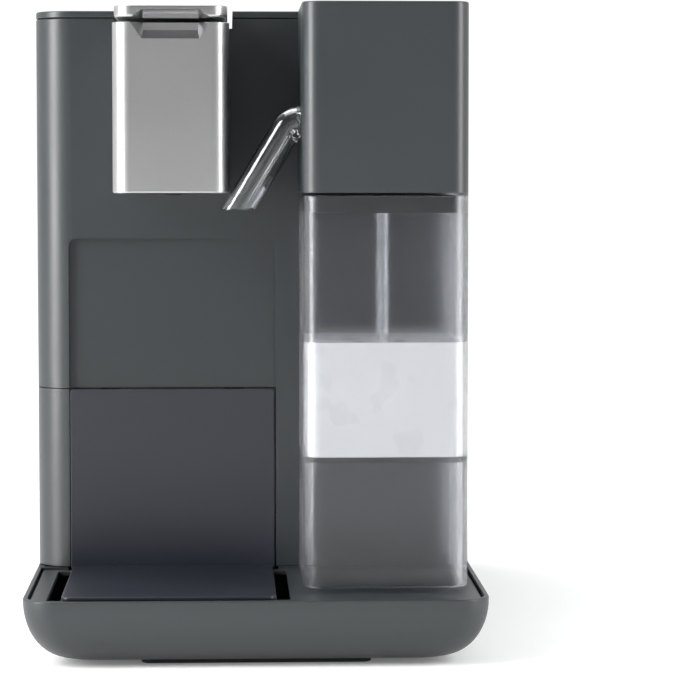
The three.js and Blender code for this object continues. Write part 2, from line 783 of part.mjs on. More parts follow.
function makeDrawer() {
  const trayBack = face - fit;
  const room = box(left - through, right + through, front - through, trayBack, 0, rimHeight);
  const hull = boat(0).intersect(room);
  const pocket = slab(frame(left + trayWall, right - trayWall, front + trayWall, face + 20,
    footprintRadius - trayWall), plateTop - plateThick - fit, height);
  const basinShrink = trayWall + trayLedge;
  const basin = boat(basinShrink, rimHeight)
    .intersect(box(left, right, front, trayBack - basinShrink, 0, rimHeight));
  place("tray_shell", cut(hull, pocket, basin), basePlastic);

  const edge = trayWall + trayGroove;
  const plate = slab(frame(left + edge, right - edge, front + edge, face - 0.6, footprintRadius - edge, 1),
    plateTop - plateThick, plateTop);
  const standLeft = standX - standWidth / 2;
  const standRight = standX + standWidth / 2;
  const slots = [standLeft - slotGap, standRight + slotGap].map((x) =>
    box(x - slotWidth / 2, x + slotWidth / 2, front + slotFront, front + slotFront + slotLength, 0,
      height));
  const drains = Array.from({ length: drainCount }, (_, i) => {
    const x = standX + (i - (drainCount - 1) / 2) * drainPitch;
    return box(x - drainWidth / 2, x + drainWidth / 2, front + drainFront, front + drainBack, 0, height);
  });
  place("tray_plate", cut(plate, ...slots, ...drains), basePlastic);

  const barY = front + barFront;
  place("foot_front", slab(frame(-barWidth / 2, barWidth / 2, barY, barY + barDepth, barRadius), 0,
    footHeight - fit), rubber);

  const y1 = face + drawerDepth;
  const floor = box(drawerLeft, drawerRight, face, y1, drawerBottom, drawerBottom + drawerFloor);
  const lips = [[drawerLeft, drawerLeft + lipWidth], [drawerRight - lipWidth, drawerRight]].map(([x0,
    x1]) =>
    box(x0, x1, face + frontWall + through, y1, drawerBottom, rimHeight - lipDrop));
  place("drawer_frame", join(floor, ...lips), blackPlastic);

  const binX0 = drawerLeft + lipWidth + fit;
  const binX1 = drawerRight - lipWidth - fit;
  const binY0 = face + frontWall + binFront;
  const binY1 = y1 - binBack;
  const bin = slab(frame(binX0, binX1, binY0, binY1, binRadius), binBottom, binTop);
  const binBore = slab(frame(binX0 + binWall, binX1 - binWall, binY0 + binWall, binY1 - binWall,
    binRadius - binWall), binBottom + binWall, binTop + through);
  place("pod_bin", cut(bin, binBore), blackPlastic);
}

function makeCupStand() {
  const x0 = standX - standWidth / 2;
  const x1 = standX + standWidth / 2;
  const z0 = plateTop + fit;
  const z1 = seamHeight - run;
  const upright = box(x0, x1, face, face + standBack, z0, z1);
  const shelf = slab(frame(x0 + shelfInset, x1 - shelfInset, face - standReach, face + standBack,
    shelfRadius,
    0), z0, z0 + standPlate);
  const guides = [-1, 1].map((side) => {
    const x = standX + side * guideSpread / 2;
    return box(x - guideWidth / 2, x + guideWidth / 2, face + standBack - through, guideBack,
      rimHeight + guideLift, rimHeight + guideLift + guideHeight);
  });
  place("cup_stand", join(upright, shelf, ...guides), standPlastic);
}

// ---- milk unit ----
const floorThickness = 2;
const frothHalf = 11;
const frothRise = 14;
const frothLength = 24;
const milkPumpLift = 12;
const milkPumpRadius = 14;
const milkPumpAside = 16;

function makeMilkHead() {
  const outer = slab(frame(milkLeft, milkRight, milkFront, face - fit, headRadius, 0.5), milkHeadBottom,
    height);
  const inner = slab(frame(milkLeft + milkHeadWall, milkRight - milkHeadWall, milkFront + milkHeadWall,
    face + through, headRadius - milkHeadWall, 0.5), 0, height - milkHeadWall);
  const spoutHole = rod("x", spigotRadius + run, milkLeft - through, milkLeft + milkHeadWall + through,
    spoutY, spoutZ, 16);
  place("milk_head", cut(outer, inner, spoutHole), anthracite);

  const inset = milkHeadWall + fit;
  const floor = slab(frame(milkLeft + inset, milkRight - inset, milkFront + inset, face - fit - 0.5,
    headRadius - inset, 0.5), milkHeadBottom + fit, milkHeadBottom + fit + floorThickness);
  const port = rod("z", intakeRadius + 1.4, 0, height, milkX, intakeY, 16);
  place("milk_head_floor", cut(floor, port), blackPlastic);

  const frothX = milkLeft + milkHeadWall + run;
  const froth = slabX(frame(spoutY - frothHalf, spoutY + frothHalf, spoutZ - frothRise,
    spoutZ + frothRise, 4),
    frothX, frothX + frothLength);
  const frothBore = rod("x", spigotRadius + run, frothX - through, frothX + frothLength / 2, spoutY,
    spoutZ, 16);
  place("froth_chamber", cut(froth, frothBore), whitePlastic);

  const foot = milkHeadBottom + milkPumpLift;
  const motor = [[0, foot], [milkPumpRadius - 2, foot], [milkPumpRadius, foot + 3], [milkPumpRadius,
    foot + 48],
    [milkPumpRadius - 4, foot + 52], [5, foot + 52], [5, foot + 58], [0, foot + 58]];
  place("milk_pump", turned(motor, milkX + milkPumpAside, (milkFront + face) / 2), castMetal);
}

function makeMilkTank() {
  const x0 = milkLeft + milkInset;
  const x1 = milkRight - milkInset;
  const y0 = milkFront + 0.5;
  const y1 = face - milkBack;
  const outer = slab(frame(x0, x1, y0, y1, headRadius), milkBottom, milkTop);
  const innerShape = frame(x0 + milkWall, x1 - milkWall, y0 + milkWall, y1 - milkWall,
    headRadius - milkWall);
  const skirt = slab(innerShape, 0, milkFloor - milkWall);
  const vessel = slab(innerShape, milkFloor, milkTop + through);
  place("milk_tank", cut(outer, skirt, vessel), smoke);

  const seat = milkWall + fit;
  const lid = slab(frame(x0 + seat, x1 - seat, y0 + seat, y1 - seat, headRadius - seat), milkTop - lidBand,
    milkTop - 0.2);
  const tubeHole = rod("z", intakeRadius + fit, 0, height, milkX, intakeY, 16);
  const latchX = milkX + 2;
  const button = slabY(frame(latchX - 5, latchX + 5, milkTop - 6, milkTop - 2, 1), y0 + milkWall,
    y0 + seat + 0.6);
  place("milk_tank_lid", cut(lid, tubeHole, button), blackPlastic);

  const tube = [[intakeBore, milkFloor + 3], [intakeRadius, milkFloor + 3], [intakeRadius, milkTop - 0.4],
    [intakeBore, milkTop - 0.4], [intakeBore, milkFloor + 3]];
  place("milk_intake_tube", turned(tube, milkX, intakeY, 12), clear);
}

const stubLength = 6.5;
const spoutLength = 70; // before the level cut at its tip

// The clear spout: a slanted tube with a flat-cut tip, closed at its top by a hood on a level stub.
function makeSpout() {
  const lean = spoutLean * turn;
  const stubEnd = milkLeft - run;
  const topX = stubEnd - stubLength;
  const tubeAt = (r, from, to) => {
    const geometry = new THREE.CylinderGeometry(r, r, to - from, 24);
    geometry.translate(0, (from + to) / 2, 0);
    geometry.rotateX(Math.PI / 2);
    geometry.rotateY(lean);
    geometry.translate(topX, spoutY, spoutTop);
    return solid(geometry);
  };
  const dome = new THREE.SphereGeometry(spoutRadius, 24, 12);
  dome.scale(1, 1, 0.62);
  dome.rotateY(lean);
  dome.translate(topX, spoutY, spoutTop);
  const stub = rod("x", stubRadius, topX - 1, stubEnd, spoutY, spoutZ, 20);
  const flange = rod("x", stubFlange, stubEnd - 1.2, stubEnd, spoutY, spoutZ, 20);
  const spigot = rod("x", spigotRadius, stubEnd - 2, milkLeft + milkHeadWall + 6, spoutY, spoutZ, 16);
  const level = box(topX - 80, topX + 80, spoutY - 40, spoutY + 40, 0, spoutTip);
  const tube = join(tubeAt(spoutRadius, -spoutLength, 0), solid(dome));
  const boreDown = tubeAt(spoutRadius - spoutWall, -spoutLength, -2);
  const boreAcross = rod("x", stubBore, topX, milkLeft + milkHeadWall + 8, spoutY, spoutZ, 12);
  const boreLink = rod("z", stubBore, spoutTop - 6, spoutZ, topX + 0.5, spoutY, 12);
  const clipX = stubEnd - clipRadius;
  const clip = rod("y", clipRadius, spoutY - 4, spoutY + 4, clipX, spoutZ - stubRadius - 2.2, 14);
  const spout = join(tube, stub, flange, spigot, clip);
  place("milk_spout", cut(spout, level, boreDown, boreAcross, boreLink), clear);
}

// ---- water tank ----
function tankShape(inset) {
  const r = rearRadius - inset;
  return outline([
    [tankLeft + inset, tankFront + inset, 1],
    [tankRight - inset, tankFront + inset, 1],
    [tankRight - inset, back - inset, columnRadius - Math.min(inset, 3)],
    [tankLeft + inset, back - inset, r],
  ]);
}

const gripRadius = 9;
const gripHalf = 16;
const lidPivotY = tankFront + lidPivotIn;
const lidPivotZ = height - lidBarrel;

function makeWaterTank() {
  const outer = slab(tankShape(0), tankBottom, tankTop);
  const inner = slab(tankShape(tankWall), tankBottom + tankWall, tankTop + through);
  const lip = box(tankLeft + 2, tankRight - 2, tankFront, tankFront + tankWall, tankTop - 4, height);
  const earZ = tankTop - 4;
  const ears = [[tankLeft + earInset, tankLeft + earInset + earWidth],
    [tankRight - earInset - earWidth, tankRight - earInset]].map(([x0, x1]) =>
    box(x0, x1, tankFront + 1, lidPivotY + earReach, earZ, height - 2 * fit));
  const pinHole = rod("x", lidPinRadius + 0.15, tankLeft, tankRight, lidPivotY, lidPivotZ, 12);
  const valveHole = rod("z", valveStem + fit, 0, tankBottom + tankWall + through, valveX, valveY, 16);
  place("water_tank", cut(join(cut(outer, inner), lip, ...ears), pinHole, valveHole), smoke);

  const seatZ = height - tankLid;
  const earGap = earInset + earWidth + run;
  const plate = cut(slab(tankShape(0), seatZ, height),
    box(tankLeft - through, tankRight + through, tankFront - through, lidPivotY, 0, height + through),
    ...[[tankLeft - through, tankLeft + earGap], [tankRight - earGap, tankRight + through]].map(([x0,
      x1]) =>
      box(x0, x1, tankFront - through, lidPivotY + lidBarrel + run, 0, height + through)));
  const barrel = rod("x", lidBarrel, tankLeft + earGap, tankRight - earGap, lidPivotY, lidPivotZ, 16);
  const bore = rod("x", lidPinRadius + fit, tankLeft, tankRight, lidPivotY, lidPivotZ, 12);
  const grip = rod("x", gripRadius, valveX - gripHalf, valveX + gripHalf, back - 1,
    height + gripRadius - 2, 24);
  place("water_tank_lid", cut(join(plate, barrel), bore, grip), blackPlastic);
  place("tank_lid_pin", rod("x", lidPinRadius, tankLeft + earInset + 1, tankRight - earInset - 1, lidPivotY,
    lidPivotZ, 12), steel);

  const valve = [[0, socketBottom + 3], [valveRadius - 2, socketBottom + 3], [valveRadius,
    socketBottom + 5],
    [valveRadius, tankBottom - fit], [valveStem, tankBottom - fit], [valveStem,
    tankBottom + tankWall + fit],
    [valveRadius, tankBottom + tankWall + fit], [valveRadius, tankBottom + tankWall + 3],
    [valveStem, tankBottom + tankWall + 5], [0, tankBottom + tankWall + 5]];
  place("tank_valve", turned(valve, valveX, valveY), whitePlastic);

  const deck = rimHeight - deckThickness;
  const cup = [[2, socketBottom], [socketRadius, socketBottom], [socketRadius + 3, deck - 3],
    [socketRadius + 3, deck - fit], [socketRadius, deck - fit], [socketRadius, rimHeight - fit],
    [valveRadius + run, rimHeight - fit], [valveRadius + run, socketBottom + 2], [2, socketBottom + 2],
    [2, socketBottom]];
  place("tank_socket", turned(cup, valveX, valveY), blackPlastic);
}

// ---- controls ----
function makeControls() {
  const names = ["short", "long", "milk", "rinse"];
  const flangeTop = housingTop - wall - buttonEdge;
  buttonCentres().forEach((y, i) => {
    const profile = [[0, flangeTop - buttonSkirt], [buttonFlange, flangeTop - buttonSkirt],
      [buttonFlange, flangeTop], [buttonRadius, flangeTop], [buttonRadius,
      height - buttonSink - buttonEdge],
      [buttonRadius - buttonEdge, height - buttonSink], [0, height - buttonSink - buttonDish]];
    place(`button_${names[i]}`, turned(profile, buttonX, y), blackPlastic);
  });
  const boardTop = flangeTop - buttonSkirt - buttonTravel - boardGap;
  const lastY = buttonFirstY + (buttonCount - 1) * buttonPitch;
  const strip = box(buttonX - stripHalf, buttonX + stripHalf, buttonFirstY - stripEnd, lastY + stripEnd,
    boardTop - boardThickness, boardTop);
  place("button_board", strip, boardGreen);

  const boardZ = housingTop - wall - boardDrop;
  const board = box(milkX - boardHalf, milkX + boardHalf, face + boardFront, bay - boardFront, boardZ,
    boardZ + boardThickness);
  const chips = boardChips.map(([x, y, w, d, h]) => box(milkX + x - w / 2, milkX + x + w / 2, y - d / 2,
    y + d / 2, boardZ + boardThickness / 2, boardZ + boardThickness + h));
  place("control_board", join(board, ...chips), boardGreen);
}

// ---- water circuit ----
const pumpX = 61;
const pumpZ = 64;
const pumpRadius = 22;
const pumpFront = -14;
const heaterBottom = 150;
const heaterTop = 178;
const heaterLeft = 31;
const heaterRight = 94;
const heaterFins = 5;
const finPitch = 18;
const hoseRadius = 2.5;

function makeWaterCircuit() {
  const profile = [[0, 0], [4, 0], [4, 8], [10, 8], [12, 14], [pumpRadius, 16], [pumpRadius, 58], [12, 60],
    [10, 66], [4, 66], [4, 74], [0, 74]];
  const geometry = new THREE.LatheGeometry(profile.map(([r, y]) => new THREE.Vector2(r, y)), 24);
  geometry.translate(pumpX, pumpFront, pumpZ);
  place("water_pump", solid(geometry), castMetal);
  [["front", pumpFront + 20], ["rear", pumpFront + 44]].forEach(([end, y]) => {
    const block = slabY(frame(pumpX - 27, pumpX + 27, 14, pumpZ + 27, 6), y, y + 10);
    const bore = rod("y", pumpRadius + fit, y - through, y + 10 + through, pumpX, pumpZ, 24);
    place(`pump_mount_${end}`, cut(block, bore), rubber);
  });

  const heater = slab(frame(heaterLeft, heaterRight, -55, 35, 8), heaterBottom, heaterTop);
  const fins = Array.from({ length: heaterFins }, (_, i) => box(heaterLeft + 5, heaterRight - 5,
    -48 + i * finPitch, -43 + i * finPitch, heaterTop - 3, heaterTop + through));
  place("heater_block", cut(heater, ...fins), castMetal);

  const brewEntry = chamberBottom + 10.5;
  // Each hose leaves and meets its fitting square on, so it starts and ends with a straight stretch.
  const hoses = {
    hose_tank_pump: [[valveX, valveY, socketBottom - fit - 0.2], [valveX, valveY, 15.6],
      [valveX + 2, valveY - 4, 12.6], [valveX + 10, valveY - 15, 11.8], [-12, 122, 12], [-8, 106, 14],
      [0, 94, 24], [30, 87, 48],
      [pumpX - 7, 84, pumpZ - 2], [pumpX, 74, pumpZ], [pumpX, 67, pumpZ],
      [pumpX, pumpFront + 74 + fit, pumpZ]],
    hose_pump_heater: [[pumpX, pumpFront - fit, pumpZ], [pumpX, pumpFront - 5, pumpZ],
      [pumpX, pumpFront - 12, pumpZ + 4], [pumpX, pumpFront - 18, pumpZ + 20], [pumpX, pumpFront - 16, 120],
      [pumpX, pumpFront - 11, 138], [pumpX, pumpFront - 10, 144],
      [pumpX, pumpFront - 10, heaterBottom - fit]],
    hose_heater_brew: [[heaterLeft - fit, -20, 164], [25, -20, 164], [14, -22, 170], [2, -30, brewEntry - 35],
      [-6, -39, brewEntry - 4], [-11, -40, brewEntry],
      [brewX + chamberWidth / 2 + fit, -40, brewEntry]],
    steam_hose: [[80, -20, heaterTop + fit], [80, -20, heaterTop + 6], [78, -30, 205], [70, -52, 226],
      [60, -72, 238], [50, -90, 247], [42, -105, 250], [40, -118, 250], [40, -124, 250],
      [40, spoutY + frothHalf + fit, 250]],
  };
  Object.entries(hoses).forEach(([name, points]) => {
    place(name, hose(points, hoseRadius, 4 * points.length), hoseSilicone);
  });
}

makeBase();
makeHousing();
makeRear();
makeBrewHead();
makeLever();
makePodPath();
makeDrawer();
makeCupStand();
makeMilkHead();
makeMilkTank();
makeSpout();
makeWaterTank();
makeControls();
makeWaterCircuit();

export default machine;
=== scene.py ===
"""Pod coffee machine with a milk unit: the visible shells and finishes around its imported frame.

Everything is in metres, +X is the machine's right seen from the front, +Y its back, +Z up.
"""

import json
import logging
import math
from dataclasses import dataclass
from enum import Enum
from typing import Any, Iterable, Sequence

import bmesh
import bpy
from mathutils import Matrix, Vector


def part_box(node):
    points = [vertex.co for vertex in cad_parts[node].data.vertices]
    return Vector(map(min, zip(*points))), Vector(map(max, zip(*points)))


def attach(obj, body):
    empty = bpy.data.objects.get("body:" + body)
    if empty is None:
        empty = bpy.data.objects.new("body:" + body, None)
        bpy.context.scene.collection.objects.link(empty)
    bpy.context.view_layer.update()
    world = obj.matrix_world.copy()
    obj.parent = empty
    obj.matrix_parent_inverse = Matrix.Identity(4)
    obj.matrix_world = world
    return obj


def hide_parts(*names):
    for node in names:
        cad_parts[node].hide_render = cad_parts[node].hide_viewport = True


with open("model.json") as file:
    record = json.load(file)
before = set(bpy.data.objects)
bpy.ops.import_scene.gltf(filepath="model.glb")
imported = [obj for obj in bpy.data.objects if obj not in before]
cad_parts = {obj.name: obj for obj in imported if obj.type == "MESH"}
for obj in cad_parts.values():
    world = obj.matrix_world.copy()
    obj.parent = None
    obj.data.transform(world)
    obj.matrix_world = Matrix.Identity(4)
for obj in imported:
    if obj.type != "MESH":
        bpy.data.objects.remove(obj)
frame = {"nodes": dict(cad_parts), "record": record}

LOG = logging.getLogger("coffee_machine")
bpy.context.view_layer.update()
MM = 0.001
FIT = 0.3 * MM  # between pieces that rest on or in each other
RUN = 0.5 * MM  # between pieces that move past each other
PAST = 10 * MM  # how far a cutter runs past the face it cuts
CRISP = 0.3 * MM  # radius of an edge that looks sharp

Colour = tuple[float, float, float]
Point3 = tuple[float, float, float]
Point = tuple[float, float]
Level = tuple[float, float]


# ---------------------------------------------------------------- shader maths
class Value:
    """One output socket of a material, usable in arithmetic."""

    def __init__(self, tree: bpy.types.NodeTree, socket: bpy.types.NodeSocket) -> None:
        """Wraps a socket.

        Args:
            tree: the node tree that holds the socket.
            socket: the output socket.
        """
        self.tree = tree
        self.socket = socket

    def _math(self, operation: str, first: "Value | float", second: "Value | float") -> "Value":
        """Adds one Math node.

        Args:
            operation: the Math node's operation.
            first: its first operand.
            second: its second operand.

        Returns:
            The node's output.
        """
        node = self.tree.nodes.new("ShaderNodeMath")
        node.operation = operation
        for slot, operand in zip(node.inputs, (first, second)):
            if isinstance(operand, Value):
                self.tree.links.new(operand.socket, slot)
            else:
                slot.default_value = operand
        return Value(self.tree, node.outputs[0])

    def __add__(self, other: "Value | float") -> "Value":
        """self + other."""
        return self._math("ADD", self, other)

    def __radd__(self, other: float) -> "Value":
        """other + self."""
        return self._math("ADD", other, self)

    def __mul__(self, other: "Value | float") -> "Value":
        """self * other."""
        return self._math("MULTIPLY", self, other)

    def __rmul__(self, other: float) -> "Value":
        """other * self."""
        return self._math("MULTIPLY", other, self)


class Paintbox:
    """A new material and the nodes that are added to it."""

    def __init__(self, name: str) -> None:
        """Makes an empty material with an output and a Principled shader.

        Args:
            name: the material's name.
        """
        self.material = bpy.data.materials.new(name)
        self.material.use_nodes = True
        self.tree = self.material.node_tree
        self.shader = self.tree.nodes["Principled BSDF"]

    def node(self, kind: str, settings: dict[str, Any] | None = None, output: str | int = 0,
             **sockets: Any) -> Value:
        """Adds any node.

        Args:
            kind: the node's type, without its ShaderNode prefix.
            settings: its own settings; "stops" sets a ramp's positions and greys.
            output: the output to return.
            **sockets: values or links of its sockets, with _ for a space.

        Returns:
            The chosen output.
        """
        made = self.tree.nodes.new("ShaderNode" + kind)
        for key, value in (settings or {}).items():
            if key == "stops":
                ramp = made.color_ramp.elements
                while len(ramp) < len(value):
                    ramp.new(0.5)
                for element, (place, grey) in zip(ramp, value):
                    element.position = place
                    element.color = (grey, grey, grey, 1)
            else:
                setattr(made, key, value)
        for key, value in sockets.items():
            self.feed(made.inputs[key.replace("_", " ")], value)
        return Value(self.tree, made.outputs[output])

    def feed(self, slot: bpy.types.NodeSocket, value: Any) -> None:
        """Sets or links one input.

        Args:
            slot: the input socket.
            value: a Value to link, or a constant.
        """
        if isinstance(value, Value):
            self.tree.links.new(value.socket, slot)
        else:
            slot.default_value = value

    def set(self, **sockets: Any) -> None:
        """Sets or links the Principled shader's inputs, with _ for a space."""
        for key, value in sockets.items():
            self.feed(self.shader.inputs[key.replace("_", " ")], value)

    def place(self) -> Value:
        """The point on the surface, in the machine's own metres."""
        return self.node("TexCoord", output="Object")

    def noise(self, size: float, detail: float = 2.0, stretch: Point3 = (1, 1, 1)) -> Value:
        """Cloudy noise whose blotches are about one size across.

        Args:
            size: the blotches' size in metres.
            detail: how many finer octaves it has.
            stretch: how its scale changes along each axis.

        Returns:
            The noise, from 0 to 1.
        """
        point = self.node("Mapping", Vector=self.place(), Scale=stretch)
        return self.node("TexNoise", output=0, Vector=point, Scale=1 / size, Detail=detail)

    def between(self, mask: Value, low: float, high: float) -> Value:
        """A number that runs from low to high as the mask runs from 0 to 1."""
        return low + mask * (high - low)

    def blend(self, mask: Value, dark: Colour, light: Colour) -> Value:
        """A colour between two, by a mask.

        Args:
            mask: 0 gives dark, 1 gives light.
            dark: the first colour.
            light: the second colour.

        Returns:
            The mixed colour.
        """
        made = self.tree.nodes.new("ShaderNodeMix")
        made.data_type = "RGBA"
        self.feed(made.inputs[0], mask)
        self.feed(made.inputs[6], (*dark, 1))
        self.feed(made.inputs[7], (*light, 1))
        return Value(self.tree, made.outputs[2])

    def bump(self, height: Value, depth: float) -> None:
        """Raises the surface by a height map, in metres at full strength."""
        self.set(Normal=self.node("Bump", Height=height, Distance=depth, Strength=1.0))


def shade(colour: Colour, factor: float) -> Colour:
    """A colour made lighter or darker by a factor."""
    return tuple(min(1.0, channel * factor) for channel in colour)


@dataclass(frozen=True)
class Moulded:
    """Moulded or painted plastic: spark-eroded grain, slight colour drift and handling marks."""

    name: str
    slot: str
    colour: Colour
    roughness: float
    grain_size: float = 0.55 * MM
    grain_depth: float = 0.02 * MM
    drift: float = 0.10
    metallic: float = 0.0
    coat: float = 0.0
    specular: float = 0.5

    def build(self) -> bpy.types.Material:
        """Makes the material."""
        paint = Paintbox(self.name)
        grain = paint.noise(self.grain_size, 3.0)
        cloud = paint.noise(45 * MM, 3.0)
        tone = grain * 0.55 + cloud * 0.45
        paint.set(
            Base_Color=paint.blend(tone, shade(self.colour, 1 - self.drift),
                                   shade(self.colour, 1 + self.drift)),
            Roughness=paint.between(cloud, self.roughness - 0.05, self.roughness + 0.05),
            Metallic=self.metallic,
            Coat_Weight=self.coat,
            Specular_IOR_Level=self.specular,
        )
        paint.bump(grain, self.grain_depth)
        return paint.material


@dataclass(frozen=True)
class SatinMetal:
    """Metal with a fine even grain, as bead-blasted or brushed along one axis."""

    name: str
    slot: str
    colour: Colour
    roughness: float
    grain_size: float = 0.5 * MM
    grain_depth: float = 0.012 * MM
    brush: Point3 = (1, 1, 1)

    def build(self) -> bpy.types.Material:
        """Makes the material."""
        paint = Paintbox(self.name)
        grain = paint.noise(self.grain_size, 3.0, self.brush)
        cloud = paint.noise(30 * MM, 2.0)
        paint.set(
            Base_Color=paint.blend(grain, shade(self.colour, 0.86), shade(self.colour, 1.12)),
            Roughness=paint.between(grain * 0.6 + cloud * 0.4, self.roughness - 0.06, self.roughness + 0.06),
            Metallic=1.0,
        )
        paint.bump(grain, self.grain_depth)
        return paint.material


@dataclass(frozen=True)
class SeeThrough:
    """Clear or smoked plastic, from polished to frosted."""

    name: str
    slot: str
    colour: Colour
    roughness: float
    clarity: float = 1.0
    index: float = 1.49
    grain_depth: float = 0.006 * MM
    cover: float = 1.0

    def build(self) -> bpy.types.Material:
        """Makes the material."""
        paint = Paintbox(self.name)
        grain = paint.noise(0.9 * MM, 2.0)
        cloud = paint.noise(25 * MM, 2.0)
        spread = min(0.05, self.roughness * 0.4)
        paint.set(
            Base_Color=paint.blend(cloud, shade(self.colour, 0.95), shade(self.colour, 1.03)),
            Roughness=paint.between(cloud, self.roughness - spread, self.roughness + spread),
            Transmission_Weight=self.clarity,
            IOR=self.index,
            Alpha=self.cover,
        )
        paint.bump(grain, self.grain_depth)
        return paint.material


@dataclass(frozen=True)
class Drink:
    """Fresh milk: white, a little see-through at its edges."""

    name: str
    slot: str
    colour: Colour
    roughness: float = 0.28

    def build(self) -> bpy.types.Material:
        """Makes the material."""
        paint = Paintbox(self.name)
        cloud = paint.noise(18 * MM, 2.0)
        paint.set(
            Base_Color=paint.blend(cloud, shade(self.colour, 0.97), self.colour),
            Roughness=paint.between(cloud, self.roughness - 0.04, self.roughness + 0.04),
            Subsurface_Weight=0.25,
            Subsurface_Radius=(1.0, 0.9, 0.8),
            Subsurface_Scale=2 * MM,
        )
        return paint.material


class Finish(Enum):
    """Every finish on the machine."""

    BODY_PAINT = Moulded("body_paint", "anthracite", (0.020, 0.024, 0.026), 0.38)
    BASE_GRAIN = Moulded("base_grain", "base_plastic", (0.021, 0.025, 0.027), 0.44, grain_size=0.7 * MM,
                         grain_depth=0.03 * MM)
    SATIN_SILVER = SatinMetal("satin_silver", "silver", (0.44, 0.44, 0.445), 0.34)
    SLATE = Moulded("slate_plastic", "stand_plastic", (0.015, 0.017, 0.025), 0.36, grain_size=0.4 * MM,
                    grain_depth=0.01 * MM)
    BLACK = Moulded("black_plastic", "black_plastic", (0.012, 0.013, 0.014), 0.48)
    RUBBER = Moulded("foot_rubber", "rubber", (0.011, 0.011, 0.012), 0.85, grain_size=0.4 * MM, drift=0.2)
    FROSTED_SMOKE = SeeThrough("frosted_smoke", "smoke", (0.74, 0.76, 0.82), 0.22, 1.0,
                               grain_depth=0.0015 * MM, cover=0.55)
    TANK_SMOKE = SeeThrough("tank_smoke", "smoke", (0.42, 0.44, 0.47), 0.12, 0.95)
    CLEAR = SeeThrough("clear_plastic", "clear", (0.95, 0.97, 0.98), 0.02, 1.0, grain_depth=0.001 * MM)
    WHITE = Moulded("white_plastic", "white_plastic", (0.72, 0.72, 0.69), 0.45, drift=0.04)
    CAST = SatinMetal("cast_metal", "cast_metal", (0.34, 0.35, 0.36), 0.55, 1.2 * MM, 0.06 * MM)
    STEEL = SatinMetal("bright_steel", "steel", (0.60, 0.61, 0.63), 0.25, 0.4 * MM, 0.006 * MM, (6, 1, 1))
    BOARD = Moulded("circuit_board", "board_green", (0.015, 0.075, 0.040), 0.35, drift=0.25)
    SILICONE = Moulded("hose_silicone", "silicone", (0.62, 0.60, 0.55), 0.55, drift=0.05)
    MILK = Drink("milk", "white_plastic", (0.68, 0.68, 0.67))


class Workshop:
    """Builds each finish once and dresses pieces with it."""

    def __init__(self) -> None:
        """Starts with no finish built."""
        self._built: dict[Finish, bpy.types.Material] = {}

    def material(self, finish: Finish) -> bpy.types.Material:
        """The finish's material, built the first time it is asked for.

        Args:
            finish: the finish that is wanted.

        Returns:
            Its material.
        """
        if finish not in self._built:
            self._built[finish] = finish.value.build()
        return self._built[finish]

    def dress(self, piece: bpy.types.Object, finish: Finish) -> None:
        """Gives a new piece one finish all over.

        Args:
            piece: the new piece.
            finish: its finish.
        """
        piece.data.materials.clear()
        piece.data.materials.append(self.material(finish))

    def redress(self, node: str, finish: Finish) -> None:
        """Gives a carried-over part a procedural material in its own slots."""
        for place in frame["nodes"][node].material_slots:
            place.material = self.material(finish)


# ---------------------------------------------------------------- outlines and lofts
@dataclass(frozen=True)
class Corner:
    """A square corner of an outline, with its fillet."""

    x: float
    y: float
    radius: float = 0.3 * MM


@dataclass(frozen=True)
class Outline:
    """A closed outline with square corners, anticlockwise, each side of which can be drawn in.

    held lists the sides that stay put when the outline is drawn in; side i ends at corner i + 1.
    """

    corners: tuple[Corner, ...]
    held: frozenset[int] = frozenset()
    keep_radius: bool = False
    steps: int = 10

    def ring(self, inset: float) -> list[Point]:
        """The outline's points when it is drawn in.

        Args:
            inset: how far its sides move inwards.

        Returns:
            The points, the same number for any inset.
        """
        count = len(self.corners)
        points = []
        for i, corner in enumerate(self.corners):
            here = Vector((corner.x, corner.y))
            before = (Vector((self.corners[i - 1].x, self.corners[i - 1].y)) - here).normalized()
            after_corner = self.corners[(i + 1) % count]
            after = (Vector((after_corner.x, after_corner.y)) - here).normalized()
            convex = before.x * after.y - before.y * after.x < 0
            in_before = 0.0 if (i - 1) % count in self.held else inset
            in_after = 0.0 if i in self.held else inset
            here = here + Vector((before.y, -before.x)) * in_before + Vector((-after.y, after.x)) * in_after
            radius = corner.radius
            if not self.keep_radius:
                radius = max(radius - inset, 0.2 * MM) if convex else radius + inset
            centre = here + (before + after) * radius
            for step in range(self.steps + 1):
                turn = step / self.steps * math.pi / 2
                spoke = -after * math.cos(turn) - before * math.sin(turn)
                points.append(tuple(centre + spoke * radius))
        return points


def rectangle(x0: float, x1: float, y0: float, y1: float, front: float, back: float | None = None,
              **settings: Any) -> Outline:
    """A rectangle with one radius at its front corners and one at its back corners."""
    rear = front if back is None else back
    return Outline((Corner(x0, y0, front), Corner(x1, y0, front), Corner(x1, y1, rear), Corner(x0, y1, rear)),
                   **settings)


def fillet(z: float, radius: float, rising: bool, inside: float = 0.0, steps: int = 4) -> list[Level]:
    """Levels that round an edge.

    Args:
        z: the height of the flat face that the edge meets.
        radius: the edge's radius.
        rising: True from the underside's edge up to the wall, False from the wall up to the top's edge.
        inside: the wall's own inset.
        steps: how many levels the curve has.

    Returns:
        (inset, height) levels in building order.
    """
    levels = []
    for step in range(steps + 1):
        turn = step / steps * math.pi / 2
        if rising:
            levels.append((inside + radius * (1 - math.sin(turn)), z + radius * (1 - math.cos(turn))))
        else:
            levels.append((inside + radius * (1 - math.cos(turn)), z - radius * (1 - math.sin(turn))))
    return levels


def new_object(name: str, mesh: bpy.types.Mesh) -> bpy.types.Object:
    """Puts a mesh in the scene under a name.

    Args:
        name: the object's name.
        mesh: its mesh.

    Returns:
        The new object.
    """
    made = bpy.data.objects.new(name, mesh)
    bpy.context.scene.collection.objects.link(made)
    return made


